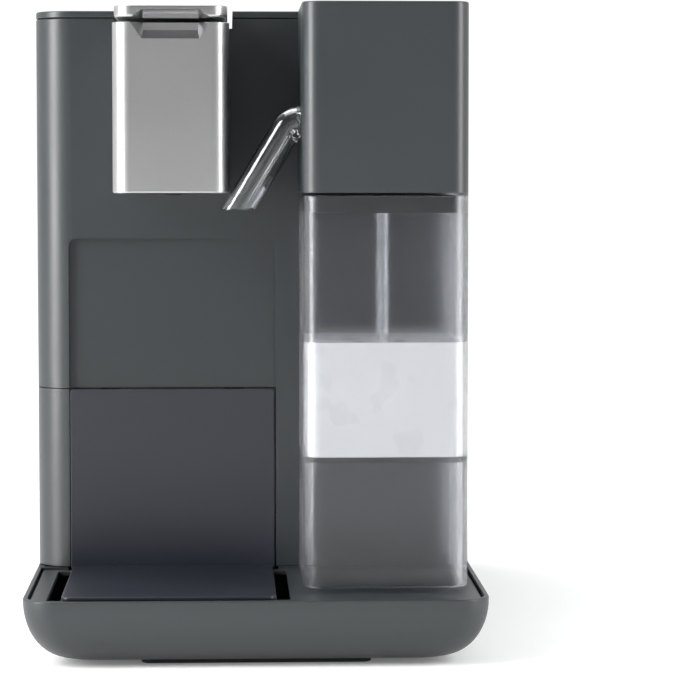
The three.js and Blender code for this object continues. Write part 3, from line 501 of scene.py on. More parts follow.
def loft(name: str, rings: Sequence[Sequence[Vector]]) -> bpy.types.Object:
    """A closed body through rings of equal count, capped at both ends.

    Args:
        name: the object's name.
        rings: points of each ring, in order.

    Returns:
        The new object.
    """
    work = bmesh.new()
    loops = [[work.verts.new(point) for point in ring] for ring in rings]
    for low, high in zip(loops, loops[1:]):
        for i, vertex in enumerate(low):
            j = (i + 1) % len(low)
            work.faces.new((vertex, low[j], high[j], high[i]))
    work.faces.new(tuple(reversed(loops[0])))
    work.faces.new(loops[-1])
    bmesh.ops.recalc_face_normals(work, faces=work.faces)
    mesh = bpy.data.meshes.new(name)
    work.to_mesh(mesh)
    work.free()
    return new_object(name, mesh)


def prism(name: str, outline: Outline, levels: Iterable[Level]) -> bpy.types.Object:
    """A closed body that follows an outline upwards through (inset, height) levels."""
    return loft(name, [[Vector((x, y, z)) for x, y in outline.ring(inset)] for inset, z in levels])


def block(name: str, outline: Outline, z0: float, z1: float, low: float, high: float) -> bpy.types.Object:
    """A solid block with rounded bottom and top edges.

    Args:
        name: the object's name.
        outline: its plan.
        z0: its underside.
        z1: its top.
        low: the bottom edge's radius.
        high: the top edge's radius.

    Returns:
        The new object.
    """
    return prism(name, outline, fillet(z0, low, True) + fillet(z1, high, False))


def vessel(name: str, outline: Outline, z0: float, z1: float, wall: float, floor: float, edge: float
           ) -> bpy.types.Object:
    """An open-topped vessel of even wall with rounded edges inside and out.

    Args:
        name: the object's name.
        outline: its outer plan.
        z0: its underside.
        z1: its rim.
        wall: the wall's thickness.
        floor: the inner floor's height.
        edge: radius of the outer bottom edge.

    Returns:
        The new object.
    """
    rim = wall * 0.4
    inner = [(wall - inset, z) for inset, z in reversed(fillet(z1, rim, False))]
    bottom = list(reversed(fillet(floor, edge, True, wall)))
    return prism(name, outline, fillet(z0, edge, True) + fillet(z1, rim, False) + inner + bottom)


def cover(name: str, outline: Outline, z0: float, z1: float, wall: float, edge: float) -> bpy.types.Object:
    """A shell that is open below and closed above, with a rounded top edge."""
    levels = [(wall, z1 - wall), (wall, z0), (0.0, z0)]
    return prism(name, outline, levels + fillet(z1, edge, False))


def box_cutter(x0: float, x1: float, y0: float, y1: float, z0: float, z1: float, radius: float = 0.2 * MM
               ) -> bpy.types.Object:
    """A cutting block with upright edges of a small radius."""
    return prism("cutter", rectangle(x0, x1, y0, y1, radius, steps=4), [(0, z0), (0, z1)])


class Axis(Enum):
    """The row's axes, as turns of an upright body onto them."""

    X = Matrix.Rotation(math.pi / 2, 4, "Y")
    Y = Matrix.Rotation(-math.pi / 2, 4, "X")
    Z = Matrix.Identity(4)


def turned(name: str, profile: Sequence[Level], centre: Vector, axis: Axis = Axis.Z, sides: int = 48
           ) -> bpy.types.Object:
    """A turned body.

    Args:
        name: the object's name.
        profile: (radius, distance along the axis) points from one end to the other.
        centre: where distance 0 lies.
        axis: the axis that it is turned about.
        sides: how many sides the round has.

    Returns:
        The new object.
    """
    matrix = Matrix.Translation(centre) @ axis.value
    rings = []
    for radius, along in profile:
        ring = []
        for side in range(sides):
            angle = 2 * math.pi * side / sides
            ring.append(matrix @ Vector((radius * math.cos(angle), radius * math.sin(angle), along)))
        rings.append(ring)
    return loft(name, rings)


def bolster(radius: float, start: float, end: float, edge: float, steps: int = 3) -> list[Level]:
    """The profile of a rod with rounded ends."""
    rising = [(radius - inset, z) for inset, z in fillet(start, edge, True, steps=steps)]
    return rising + [(radius - inset, z) for inset, z in fillet(end, edge, False, steps=steps)]


def settle(piece: bpy.types.Object) -> None:
    """Applies the piece's modifiers to its mesh.

    Args:
        piece: the piece with modifiers.
    """
    graph = bpy.context.evaluated_depsgraph_get()
    fresh = bpy.data.meshes.new_from_object(piece.evaluated_get(graph))
    stale = piece.data
    piece.modifiers.clear()
    piece.data = fresh
    bpy.data.meshes.remove(stale)


def combine(piece: bpy.types.Object, operation: str, others: Iterable[bpy.types.Object]) -> None:
    """Cuts or joins other bodies with a piece, and deletes them.

    Args:
        piece: the body that stays.
        operation: DIFFERENCE, UNION or INTERSECT.
        others: the bodies that are used up.
    """
    tools = list(others)
    for tool in tools:
        step = piece.modifiers.new("join", "BOOLEAN")
        step.operation = operation
        step.solver = "EXACT"
        step.object = tool
    settle(piece)
    for tool in tools:
        mesh = tool.data
        bpy.data.objects.remove(tool)
        bpy.data.meshes.remove(mesh)


def cut(piece: bpy.types.Object, *tools: bpy.types.Object) -> None:
    """Cuts bodies out of a piece."""
    combine(piece, "DIFFERENCE", tools)


def fuse(piece: bpy.types.Object, *others: bpy.types.Object) -> None:
    """Joins bodies to a piece."""
    combine(piece, "UNION", others)


def soften(piece: bpy.types.Object, width: float, segments: int = 2) -> None:
    """Rounds the piece's sharp edges a little.

    Args:
        piece: the piece.
        width: the rounding's width.
        segments: how many faces it has across.
    """
    step = piece.modifiers.new("edges", "BEVEL")
    step.width = width
    step.segments = segments
    step.limit_method = "ANGLE"
    step.angle_limit = math.radians(50)
    step.use_clamp_overlap = True
    settle(piece)


def smooth(piece: bpy.types.Object) -> None:
    """Shades the piece smooth, with creases at its sharp edges and large faces kept flat.

    Args:
        piece: the piece.
    """
    for face in piece.data.polygons:
        face.use_smooth = True
    piece.data.set_sharp_from_angle(angle=math.radians(50))
    step = piece.modifiers.new("normals", "WEIGHTED_NORMAL")
    step.mode = "FACE_AREA"
    step.weight = 100
    step.keep_sharp = True
    settle(piece)


@dataclass
class Assembly:
    """A group of pieces that are built, dressed and fitted to the frame together."""

    shop: Workshop

    def fit(self, piece: bpy.types.Object, finish: Finish, *nodes: str, body: str | None = None) -> None:
        """Dresses a piece and makes it ride where the parts that it stands for do.

        Args:
            piece: the finished mesh.
            finish: its finish.
            *nodes: the frame's nodes that it stands for.
            body: the body that it rides on, where it stands for no node.
        """
        smooth(piece)
        self.shop.dress(piece, finish)
        owner = body or next(name for name, parts in frame["record"]["behaviour"]["bodies"].items()
                             if nodes[0] in parts)
        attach(piece, owner)
        if nodes:
            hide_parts(*nodes)
        LOG.info("%s rides on %s", piece.name, owner)


def corners(node: str) -> tuple[Vector, Vector]:
    """A node's lowest and highest corners at rest."""
    low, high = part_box(node)
    return Vector(low), Vector(high)


# ---------------------------------------------------------------- body
@dataclass
class Body(Assembly):
    """The housing, its top cover and the drawer front that closes it."""

    wall: float = 3.3 * MM
    corner: float = 18 * MM
    rear_corner: float = 8 * MM
    column_corner: float = 4 * MM
    edge: float = 0.9 * MM
    track_depth: float = 2.6 * MM
    track_corner: float = 3.9 * MM
    track_top: float = 193.1 * MM
    channel: float = 57.5 * MM
    channel_depth: float = 8.5 * MM
    channel_bridge: float = 10 * MM
    pod_slot: float = 34 * MM
    pod_slot_front: float = -62 * MM
    button_hole: float = 7.4 * MM
    brew_rim: float = 5 * MM
    milk_rim: float = 8 * MM
    panel_ledge: float = 7 * MM

    def __post_init__(self) -> None:
        """Reads the places that the rest of the frame sets."""
        self.low, self.high = corners("housing")
        self.cover_low, self.cover_high = corners("top_cover")
        self.tank_low, self.tank_high = corners("water_tank")
        self.brew_x = (corners("brew_head")[0].x + corners("brew_head")[1].x) / 2

    def plan(self) -> Outline:
        """The housing's plan: a block with the water tank's bay cut out of its back left."""
        bay = self.tank_low.y - RUN
        column = self.tank_high.x + RUN
        return Outline((
            Corner(self.low.x, self.low.y, self.corner),
            Corner(self.high.x, self.low.y, self.corner),
            Corner(self.high.x, self.high.y, self.rear_corner),
            Corner(column, self.high.y, self.column_corner),
            Corner(column, bay, 0.5 * MM),
            Corner(self.low.x, bay, 1 * MM),
        ))

    def track(self, grow: float) -> bpy.types.Object:
        """The cutter for the shallow track that the cup stand lies in.

        Args:
            grow: room on each side of the stand.

        Returns:
            The cutter.
        """
        low, high = corners("cup_stand")
        plan = rectangle(low.x - grow, high.x + grow, -self.track_top, 0, self.track_corner, 0.2 * MM)
        cutter = prism("cutter", plan, [(0, -1 * MM), (0, self.track_depth)])
        cutter.data.transform(Matrix.Translation((0, self.low.y, 0)) @ Matrix.Rotation(-math.pi / 2, 4, "X"))
        return cutter

    def channel_cutter(self) -> bpy.types.Object:
        """The cutter for the channel that the lever lies in."""
        half = self.channel / 2
        back = self.tank_low.y - RUN - self.channel_bridge
        return box_cutter(self.brew_x - half, self.brew_x + half, self.low.y - 5 * MM, back,
                          self.cover_high.z - self.channel_depth, self.cover_high.z + 5 * MM, 2 * MM)

    def button_holes(self) -> list[bpy.types.Object]:
        """Cutters for the button holes."""
        holes = []
        for key in ("short", "long", "milk", "rinse"):
            low, high = corners(f"button_{key}")
            centre = (low + high) / 2
            holes.append(turned("cutter", [(self.button_hole, -0.02), (self.button_hole, 0.02)],
                                Vector((centre.x, centre.y, self.high.z))))
        return holes

    def housing(self) -> None:
        """Builds the housing."""
        shell = cover("housing_shell", self.plan(), self.low.z, self.high.z, self.wall, self.edge)
        half = self.channel / 2 + self.wall
        trough = box_cutter(self.brew_x - half, self.brew_x + half, self.low.y + 1 * MM,
                            self.tank_low.y - RUN - self.channel_bridge + self.wall,
                            self.cover_high.z - self.channel_depth - self.wall, self.high.z - 1 * MM)
        fuse(shell, trough)
        front_high = corners("drawer_front")[1]
        drawer = box_cutter(-1, front_high.x + FIT, -1, front_high.y + FIT, 0, front_high.z + FIT)
        slot_half = self.pod_slot / 2
        slot = box_cutter(self.brew_x - slot_half, self.brew_x + slot_half, self.pod_slot_front,
                          self.pod_slot_front + self.pod_slot, self.high.z - 3 * PAST,
                          self.high.z + PAST, 1 * MM)
        head_low, head_high = corners("brew_head")
        brew = box_cutter(head_low.x + self.brew_rim, head_high.x - self.brew_rim, self.low.y - PAST,
                          self.low.y + PAST, head_low.z + self.brew_rim + 2 * MM,
                          head_high.z - self.brew_rim - 4 * MM)
        milk_low, milk_high = corners("milk_head")
        milk = box_cutter(milk_low.x + self.milk_rim, milk_high.x - self.milk_rim, self.low.y - PAST,
                          self.low.y + PAST, milk_low.z + self.milk_rim, milk_high.z - self.milk_rim - 6 * MM)
        panel_low, panel_high = corners("rear_panel")
        panel = box_cutter(panel_low.x - FIT, panel_high.x + FIT, self.high.y - 3 * MM, self.high.y + PAST,
                           panel_low.z - FIT, panel_high.z + FIT)
        ledge = self.panel_ledge
        opening = box_cutter(panel_low.x + ledge, panel_high.x - ledge, self.high.y - PAST,
                             self.high.y + PAST, panel_low.z + ledge, panel_high.z - ledge)
        lever_low, lever_high = corners("lever_pin")
        pin = (lever_low + lever_high) / 2
        bore = turned("cutter", [(1.3 * MM, -0.05), (1.3 * MM, 0.05)], pin, Axis.X, 16)
        cut(shell, drawer, self.track(RUN), self.channel_cutter(), slot, brew, milk, panel, opening, bore,
            *self.button_holes())
        soften(shell, 0.35 * MM)
        self.fit(shell, Finish.BODY_PAINT, "housing")

    def top(self) -> None:
        """Builds the top cover."""
        lid = block("top_cover_plate", self.plan(), self.cover_low.z, self.cover_high.z, 0.3 * MM, self.edge)
        cut(lid, self.channel_cutter(), *self.button_holes())
        soften(lid, 0.35 * MM)
        self.fit(lid, Finish.BODY_PAINT, "top_cover")

    def drawer_front(self) -> None:
        """Builds the drawer front, which wraps round the housing's front left corner."""
        low, high = corners("drawer_front")
        deep = self.low.y + 6 * MM
        inner = self.low.x + 3 * MM
        plan = Outline((
            Corner(self.low.x, self.low.y, self.corner),
            Corner(high.x, self.low.y),
            Corner(high.x, deep),
            Corner(inner, deep, self.corner - 4 * MM),
            Corner(inner, high.y),
            Corner(self.low.x, high.y),
        ))
        panel = block("drawer_front_panel", plan, self.low.z, high.z, 0.3 * MM, 0.4 * MM)
        apron = box_cutter(low.x + 26 * MM, high.x - 12 * MM, self.low.y + self.track_depth + 0.2 * MM, deep,
                           low.z, self.low.z + 4 * MM)
        fuse(panel, apron)
        stand_low, stand_high = corners("cup_stand")
        half = CupStand.guide_width / 2 + FIT
        guides = []
        for side in (-1, 1):
            x = (stand_low.x + stand_high.x + side * CupStand.guide_spread) / 2
            guides.append(box_cutter(x - half, x + half, self.low.y, stand_high.y + FIT, 0, high.z + FIT))
        cut(panel, self.track(RUN), *guides)
        soften(panel, 0.3 * MM)
        self.fit(panel, Finish.BODY_PAINT, "drawer_front")

    def build(self) -> None:
        """Builds every piece."""
        self.housing()
        self.top()
        self.drawer_front()


# ---------------------------------------------------------------- base and drip tray
@dataclass
class Base(Assembly):
    """The boat-shaped base, the drip tray in front of it and the feet."""

    corner: float = 15 * MM
    sweep_in: float = 21 * MM
    sweep_up: float = 28.6 * MM
    lip: float = 0.5 * MM
    wall: float = 3.5 * MM
    tray_wall: float = 2 * MM
    ledge: float = 4 * MM
    slot_width: float = 6.3 * MM
    slot_gap: float = 2.6 * MM
    slot_front: float = 8.3 * MM
    slot_length: float = 98 * MM
    drains: int = 5
    drain_pitch: float = 15 * MM
    drain_width: float = 4 * MM
    drain_front: float = 27 * MM
    drain_back: float = 87 * MM

    def hull_levels(self, shrink: float, z0: float, top: float) -> list[Level]:
        """Levels of the hull: a quarter ellipse from its underside, then upright to its rim.

        Args:
            shrink: how far inside the outer skin it is.
            z0: the outer skin's underside.
            top: the height where it ends.

        Returns:
            The levels from the bottom up.
        """
        steps = 18
        rise = self.sweep_up - shrink
        levels = []
        for step in range(steps + 1):
            turn = math.pi / 2 * (1 - step / steps)
            levels.append((shrink + self.sweep_in * (1 - math.cos(turn)),
                           z0 + shrink + rise * (1 - math.sin(turn))))
        return levels + [(shrink, top)]

    def tray(self) -> None:
        """Builds the tray shell."""
        low, high = corners("tray_shell")
        plan = rectangle(low.x, high.x, low.y, high.y, self.corner, 0.3 * MM, held=frozenset({2}),
                         keep_radius=True, steps=14)
        levels = self.hull_levels(0, low.z, high.z - self.lip)[:-1]
        shell = prism("drip_tray_shell", plan, levels + fillet(high.z, self.lip, False, steps=3))
        plate_low = corners("tray_plate")[0]
        pocket = box_cutter(low.x + self.tray_wall, high.x - self.tray_wall, low.y + self.tray_wall,
                            high.y + 2 * PAST, plate_low.z - FIT, high.z + 2 * PAST,
                            self.corner - self.tray_wall)
        well = rectangle(low.x, high.x, low.y, high.y - self.ledge, self.corner, 0.3 * MM,
                         held=frozenset({2}), keep_radius=True)
        basin = prism("cutter", well, self.hull_levels(self.ledge, low.z, high.z))
        cut(shell, pocket, basin)
        self.fit(shell, Finish.BASE_GRAIN, "tray_shell")

    def plate(self) -> None:
        """Builds the tray plate, with a chamfer round it and the two drain slots beside the stand."""
        low, high = corners("tray_plate")
        plan = rectangle(low.x, high.x, low.y, high.y, self.corner - self.tray_wall - 0.7 * MM, 0.5 * MM)
        chamfer = 1.1 * MM
        plate = prism("drip_tray_plate", plan, [
            (CRISP, low.z), (0, low.z + CRISP), (0, high.z - chamfer),
            (0.2 * MM, high.z - 0.6 * MM), (chamfer, high.z - 0.05 * MM), (chamfer + 0.2 * MM, high.z)])
        stand_low, stand_high = corners("cup_stand")
        tools = []
        under = low.z - PAST
        over = high.z + PAST
        for x in (stand_low.x - self.slot_gap, stand_high.x + self.slot_gap):
            tools.append(box_cutter(x - self.slot_width / 2, x + self.slot_width / 2, low.y + self.slot_front,
                                    low.y + self.slot_front + self.slot_length, under, over, 0.6 * MM))
        middle = (stand_low.x + stand_high.x) / 2
        for i in range(self.drains):
            x = middle + (i - (self.drains - 1) / 2) * self.drain_pitch
            half = self.drain_width / 2
            tools.append(box_cutter(x - half, x + half, low.y + self.drain_front, low.y + self.drain_back,
                                    under, over, half - 0.1 * MM))
        cut(plate, *tools)
        soften(plate, 0.35 * MM)
        self.fit(plate, Finish.BASE_GRAIN, "tray_plate")

    def hull(self) -> None:
        """Builds the base under the housing."""
        low, high = corners("base_shell")
        plan = Outline((Corner(low.x, low.y), Corner(high.x, low.y), Corner(high.x, high.y, self.corner),
                        Corner(low.x, high.y, self.corner)), frozenset({0}), True, 14)
        levels = self.hull_levels(0, low.z, high.z - self.lip)[:-1]
        shell = prism("base_hull", plan, levels + fillet(high.z, self.lip, False, steps=3))
        tank_low = corners("water_tank")[0]
        inner_plan = Outline((Corner(low.x, low.y + self.wall), Corner(high.x, low.y + self.wall),
                              Corner(high.x, tank_low.y - self.wall), Corner(low.x, tank_low.y - self.wall)),
                             frozenset({0, 2}), True)
        well = prism("cutter", inner_plan, self.hull_levels(self.wall, low.z, high.z + PAST))
        stand_low, stand_high = corners("cup_stand")
        way = box_cutter(stand_low.x - 1.5 * MM, stand_high.x + 2 * MM, low.y - PAST, low.y + 8 * MM,
                         9.5 * MM, high.z + PAST)
        under = box_cutter(-60 * MM, 60 * MM, tank_low.y + 0.5 * MM, high.y - 24 * MM, 0, high.z - self.wall,
                           4 * MM)
        socket_low, socket_high = corners("tank_socket")
        middle = (socket_low + socket_high) / 2
        hole = turned("cutter", [(12.3 * MM, 0), (12.3 * MM, 0.05)], Vector((middle.x, middle.y, 0)))
        hose = box_cutter(-22 * MM, 2 * MM, tank_low.y - 8 * MM, tank_low.y + 4 * MM, 9 * MM, 24 * MM)
        cut(shell, well, way, under, hole, hose)
        self.fit(shell, Finish.BASE_GRAIN, "base_shell")

    def feet(self) -> None:
        """Builds the four round feet and the bar under the tray."""
        for row in ("mid", "rear"):
            for side in ("left", "right"):
                node = f"foot_{row}_{side}"
                low, high = corners(node)
                middle = (low + high) / 2
                radius = (high.x - low.x) / 2
                foot = turned(f"{node}_pad", bolster(radius, low.z, high.z, 0.8 * MM),
                              Vector((middle.x, middle.y, 0)))
                self.fit(foot, Finish.RUBBER, node)
        low, high = corners("foot_front")
        plan = rectangle(low.x, high.x, low.y, high.y, (high.y - low.y) / 2 - 0.1 * MM)
        bar = block("foot_front_bar", plan, low.z, high.z, 0.6 * MM, 0.3 * MM)
        self.fit(bar, Finish.RUBBER, "foot_front")

    def build(self) -> None:
        """Builds every piece."""
        self.tray()
        self.plate()
        self.hull()
        self.feet()


# ---------------------------------------------------------------- cup stand
@dataclass
class CupStand(Assembly):
    """The sliding stand: a shelf over the tray and an upright that lies in the track."""

    shelf_thickness: float = 1.5 * MM
    upright_thickness: float = 2.3 * MM
    shelf_inset: float = 0.9 * MM
    corner: float = 4 * MM
    guide_spread: float = 60 * MM
    guide_width: float = 9.4 * MM
    guide_height: float = 17.5 * MM
    guide_lift: float = 2.2 * MM

    def build(self) -> None:
        """Builds the stand."""
        low, high = corners("cup_stand")
        face = corners("housing")[0].y
        plan = rectangle(low.x + self.shelf_inset, high.x - self.shelf_inset, low.y,
                         face + self.upright_thickness, self.corner, 0.3 * MM)
        stand = block("cup_stand_plate", plan, low.z, low.z + self.shelf_thickness, 0.3 * MM, 0.5 * MM)
        upright_plan = rectangle(low.x, high.x, -high.z, -low.z, 2 * MM, 0.3 * MM)
        upright = block("upright", upright_plan, 0, self.upright_thickness, 0.3 * MM, 0.2 * MM)
        upright.data.transform(Matrix.Translation((0, face, 0)) @ Matrix.Rotation(-math.pi / 2, 4, "X"))
        middle = (low.x + high.x) / 2
        foot = low.z + self.guide_lift
        guides = []
        for side in (-1, 1):
            x = middle + side * self.guide_spread / 2
            guides.append(box_cutter(x - self.guide_width / 2, x + self.guide_width / 2, face + 1 * MM,
                                     high.y, foot, foot + self.guide_height))
        fuse(stand, upright, *guides)
        self.fit(stand, Finish.SLATE, "cup_stand")


# ---------------------------------------------------------------- brew head and lever
@dataclass
class BrewHead(Assembly):
    """The silver brew head, the lever over it and the finger scoop that they share."""

    corner: float = 8.5 * MM
    wall: float = 2 * MM
    scoop_wide: float = 37.4 * MM
    scoop_narrow: float = 26.6 * MM
    scoop_below: float = 7.7 * MM
    scoop_above: float = 3.8 * MM
    scoop_depth: float = 8.5 * MM
    lever_gap: float = 2.1 * MM
    barrel: float = 2.4 * MM
    tail: float = 5.5 * MM
    tail_drop: float = 1.6 * MM

    def __post_init__(self) -> None:
        """Reads the two pieces' places."""
        self.low, self.high = corners("brew_head")
        self.lever_low, self.lever_high = corners("brew_lever")
        self.x = (self.low.x + self.high.x) / 2
        self.lever_under = self.high.z + self.lever_gap

    def scoop(self) -> bpy.types.Object:
        """The cutter for the scoop: wide and tall at the front, narrowing to a flat back."""
        def section(y: float, wide: float, narrow: float, below: float, above: float) -> list[Vector]:
            """One six-sided section of the scoop."""
            points = [(-narrow, self.high.z - below), (narrow, self.high.z - below), (wide, self.high.z),
                      (wide, self.lever_under), (narrow, self.lever_under + above),
                      (-narrow, self.lever_under + above), (-wide, self.lever_under), (-wide, self.high.z)]
            return [Vector((self.x + across / 2, y, z)) for across, z in points]

        spread = 1.06
        return loft("cutter", [
            section(self.low.y - 0.5 * MM, self.scoop_wide * spread, self.scoop_narrow * spread,
                    self.scoop_below * spread, self.scoop_above * spread),
            section(self.low.y, self.scoop_wide, self.scoop_narrow, self.scoop_below, self.scoop_above),
            section(self.low.y + self.scoop_depth, self.scoop_narrow - 0.8 * MM, self.scoop_narrow - 1.2 * MM,
                    self.scoop_below * 0.45, self.scoop_above * 0.55),
        ])

    def head(self) -> None:
        """Builds the head's shell."""
        plan = rectangle(self.low.x, self.high.x, self.low.y, self.high.y, self.corner, 0.4 * MM, steps=14)
        shell = block("brew_head_shell", plan, self.low.z, self.high.z, 1.0 * MM, 0.5 * MM)
        inner = rectangle(self.low.x + self.wall, self.high.x - self.wall, self.low.y + self.wall,
                          self.high.y + PAST, self.corner - self.wall, 0.3 * MM)
        behind = rectangle(self.low.x + self.wall, self.high.x - self.wall,
                           self.low.y + self.scoop_depth + 2 * self.wall, self.high.y + PAST, 0.3 * MM)
        hollow = prism("cutter", inner, [(0, self.low.z + self.wall),
                                         (0, self.high.z - self.scoop_below - self.wall)])
        upper = prism("cutter", behind, [(0, self.high.z - self.scoop_below - 2 * self.wall),
                                         (0, self.high.z - self.wall)])
        nozzle_low, nozzle_high = corners("coffee_outlet")
        nozzle = (nozzle_low + nozzle_high) / 2
        hole = turned("cutter", [(6.5 * MM, -PAST), (6.5 * MM, PAST)],
                      Vector((nozzle.x, nozzle.y, self.low.z)))
        cut(shell, hollow, upper, hole, self.scoop())
        soften(shell, 0.25 * MM)
        self.fit(shell, Finish.SATIN_SILVER, "brew_head")

    def outlet(self) -> None:
        """Builds the outlet nozzle."""
        low, high = corners("coffee_outlet")
        middle = (low + high) / 2
        z = low.z
        profile = [(2.5, 8), (2.5, 0.3), (2.8, 0), (4.2, 0), (4.6, 0.3), (5.6, 1.2), (6, 1.8), (6, 3.3),
                   (8.3, 3.3), (8.5, 3.5), (8.5, 4.8), (6, 7), (4, 8), (3.8, 8)]
        nozzle = turned("coffee_nozzle", [(radius * MM, z + up * MM) for radius, up in profile],
                        Vector((middle.x, middle.y, 0)))
        self.fit(nozzle, Finish.BLACK, "coffee_outlet")

    def lever(self) -> None:
        """Builds the lever."""
        pin_low, pin_high = corners("lever_pin")
        pivot = (pin_low + pin_high) / 2
        plan = rectangle(self.lever_low.x, self.lever_high.x, self.lever_low.y, pivot.y, self.corner,
                         0.3 * MM, steps=14)
        top = self.lever_high.z
        lever = block("brew_lever_plate", plan, self.lever_under, top, 1.3 * MM, 0.5 * MM)
        half = (self.lever_high.x - self.lever_low.x) / 2
        barrel = turned("barrel", bolster(self.barrel, -half, half, 0.3 * MM), pivot, Axis.X, 32)
        fuse(lever, barrel)
        tail = box_cutter(-1, 1, pivot.y - self.tail, pivot.y + PAST, top - self.tail_drop, top + PAST)
        bore = turned("cutter", [(1.3 * MM, -0.05), (1.3 * MM, 0.05)], pivot, Axis.X, 24)
        cut(lever, tail, bore, self.scoop())
        soften(lever, 0.25 * MM)
        self.fit(lever, Finish.SATIN_SILVER, "brew_lever")

    def build(self) -> None:
        """Builds every piece."""
        self.head()
        self.outlet()
        self.lever()


# ---------------------------------------------------------------- milk unit
@dataclass
class MilkUnit(Assembly):
    """The milk head, the tank under it with its milk, and the clear spout."""

    corner: float = 8.5 * MM
    head_wall: float = 2.5 * MM
    wall: float = 2.2 * MM
    floor: float = 93.6 * MM
    milk_level: float = 147 * MM
    spout_radius: float = 7.2 * MM
    spout_wall: float = 1.5 * MM
    spout_lean: float = 30.9
    spout_tip: float = 208 * MM
    spout_bend: float = 7.8 * MM
    spout_height: float = 248.7 * MM
    spigot_height: float = 250 * MM

    def head(self) -> None:
        """Builds the head's shell."""
        low, high = corners("milk_head")
        plan = rectangle(low.x, high.x, low.y, high.y, self.corner, 0.4 * MM, steps=14)
        shell = cover("milk_head_shell", plan, low.z, high.z, self.head_wall, 0.8 * MM)
        back = box_cutter(low.x + 8 * MM, high.x - 8 * MM, high.y - PAST, high.y + PAST, low.z + 7 * MM,
                          high.z - 12 * MM)
        spout_low, spout_high = corners("milk_spout")
        port = turned("cutter", [(3.5 * MM, -PAST), (3.5 * MM, PAST)],
                      Vector((low.x, (spout_low.y + spout_high.y) / 2, self.spigot_height)), Axis.X, 24)
        cut(shell, back, port)
        soften(shell, 0.25 * MM)
        self.fit(shell, Finish.BODY_PAINT, "milk_head")

    def tank(self) -> None:
        """Builds the tank: a vessel on a hollow skirt."""
        low, high = corners("milk_tank")
        plan = rectangle(low.x, high.x, low.y, high.y, self.corner, steps=14)
        ceiling = self.floor - self.wall
        rim = 0.8 * MM
        foot = [(self.wall, ceiling)] + [(self.wall - inset, z) for inset, z in
                                         reversed(fillet(low.z, rim, True))]
        outer = fillet(low.z, rim, True) + fillet(high.z, rim, False)
        inner = [(self.wall - inset, z) for inset, z in reversed(fillet(high.z, rim, False))]
        basin = list(reversed(fillet(self.floor, 0.8 * MM, True, self.wall)))
        tank = prism("milk_tank_shell", plan, foot + outer + inner + basin)
        mark_x = (low.x + high.x) / 2 + 2 * MM
        mark_z = high.z - 4.2 * MM
        half_width = 5 * MM
        half_height = 2 * MM
        line = 0.6 * MM
        groove = prism("cutter", rectangle(mark_x - half_width, mark_x + half_width, -mark_z - half_height,
                                           -mark_z + half_height, 1 * MM), [(0, -1 * MM), (0, 0.35 * MM)])
        half_width -= line
        half_height -= line
        core = prism("core", rectangle(mark_x - half_width, mark_x + half_width, -mark_z - half_height,
                                       -mark_z + half_height, 0.6 * MM), [(0, -2 * MM), (0, 2 * MM)])
        cut(groove, core)
        groove.data.transform(Matrix.Translation((0, low.y, 0)) @ Matrix.Rotation(-math.pi / 2, 4, "X"))
        cut(tank, groove)
        self.fit(tank, Finish.FROSTED_SMOKE, "milk_tank")

    def lid(self) -> None:
        """Builds the tank's lid."""
        low, high = corners("milk_tank_lid")
        plan = rectangle(low.x, high.x, low.y, high.y, self.corner - self.wall - FIT)
        lid = block("milk_tank_lid_plug", plan, low.z, high.z, 0.6 * MM, 0.5 * MM)
        tube_low, tube_high = corners("milk_intake_tube")
        middle = (tube_low + tube_high) / 2
        hole = turned("cutter", [(2.9 * MM, 0), (2.9 * MM, 0.4)], Vector((middle.x, middle.y, 0)), sides=24)
        cut(lid, hole)
        self.fit(lid, Finish.BLACK, "milk_tank_lid")

    def milk(self) -> None:
        """Builds the milk that stands in the tank, with a raised edge where it wets the wall."""
        low, high = corners("milk_tank")
        inset = self.wall + 0.15 * MM
        plan = rectangle(low.x + inset, high.x - inset, low.y + inset, high.y - inset, self.corner - inset)
        level = self.milk_level
        surface = [(0, level), (0.15 * MM, level), (0.8 * MM, level - 0.5 * MM), (2.5 * MM, level - 0.7 * MM)]
        milk = prism("milk", plan, fillet(self.floor + 0.15 * MM, 0.8 * MM, True) + surface)
        tube_low, tube_high = corners("milk_intake_tube")
        middle = (tube_low + tube_high) / 2
        hole = turned("cutter", [(2.8 * MM, 0), (2.8 * MM, 0.4)], Vector((middle.x, middle.y, 0)), sides=24)
        cut(milk, hole)
        self.fit(milk, Finish.MILK, body="milk_tank")

    def intake(self) -> None:
        """Builds the tube that draws the milk up."""
        low, high = corners("milk_intake_tube")
        middle = (low + high) / 2
        outer = (high.x - low.x) / 2
        foot = Vector((middle.x, middle.y, 0))
        tube = turned("intake_tube", bolster(outer, low.z, high.z, 0.2 * MM), foot, sides=24)
        bore = turned("cutter", [(outer - 1 * MM, low.z - PAST), (outer - 1 * MM, high.z + PAST)], foot,
                      sides=24)
        cut(tube, bore)
        self.fit(tube, Finish.CLEAR, "milk_intake_tube")

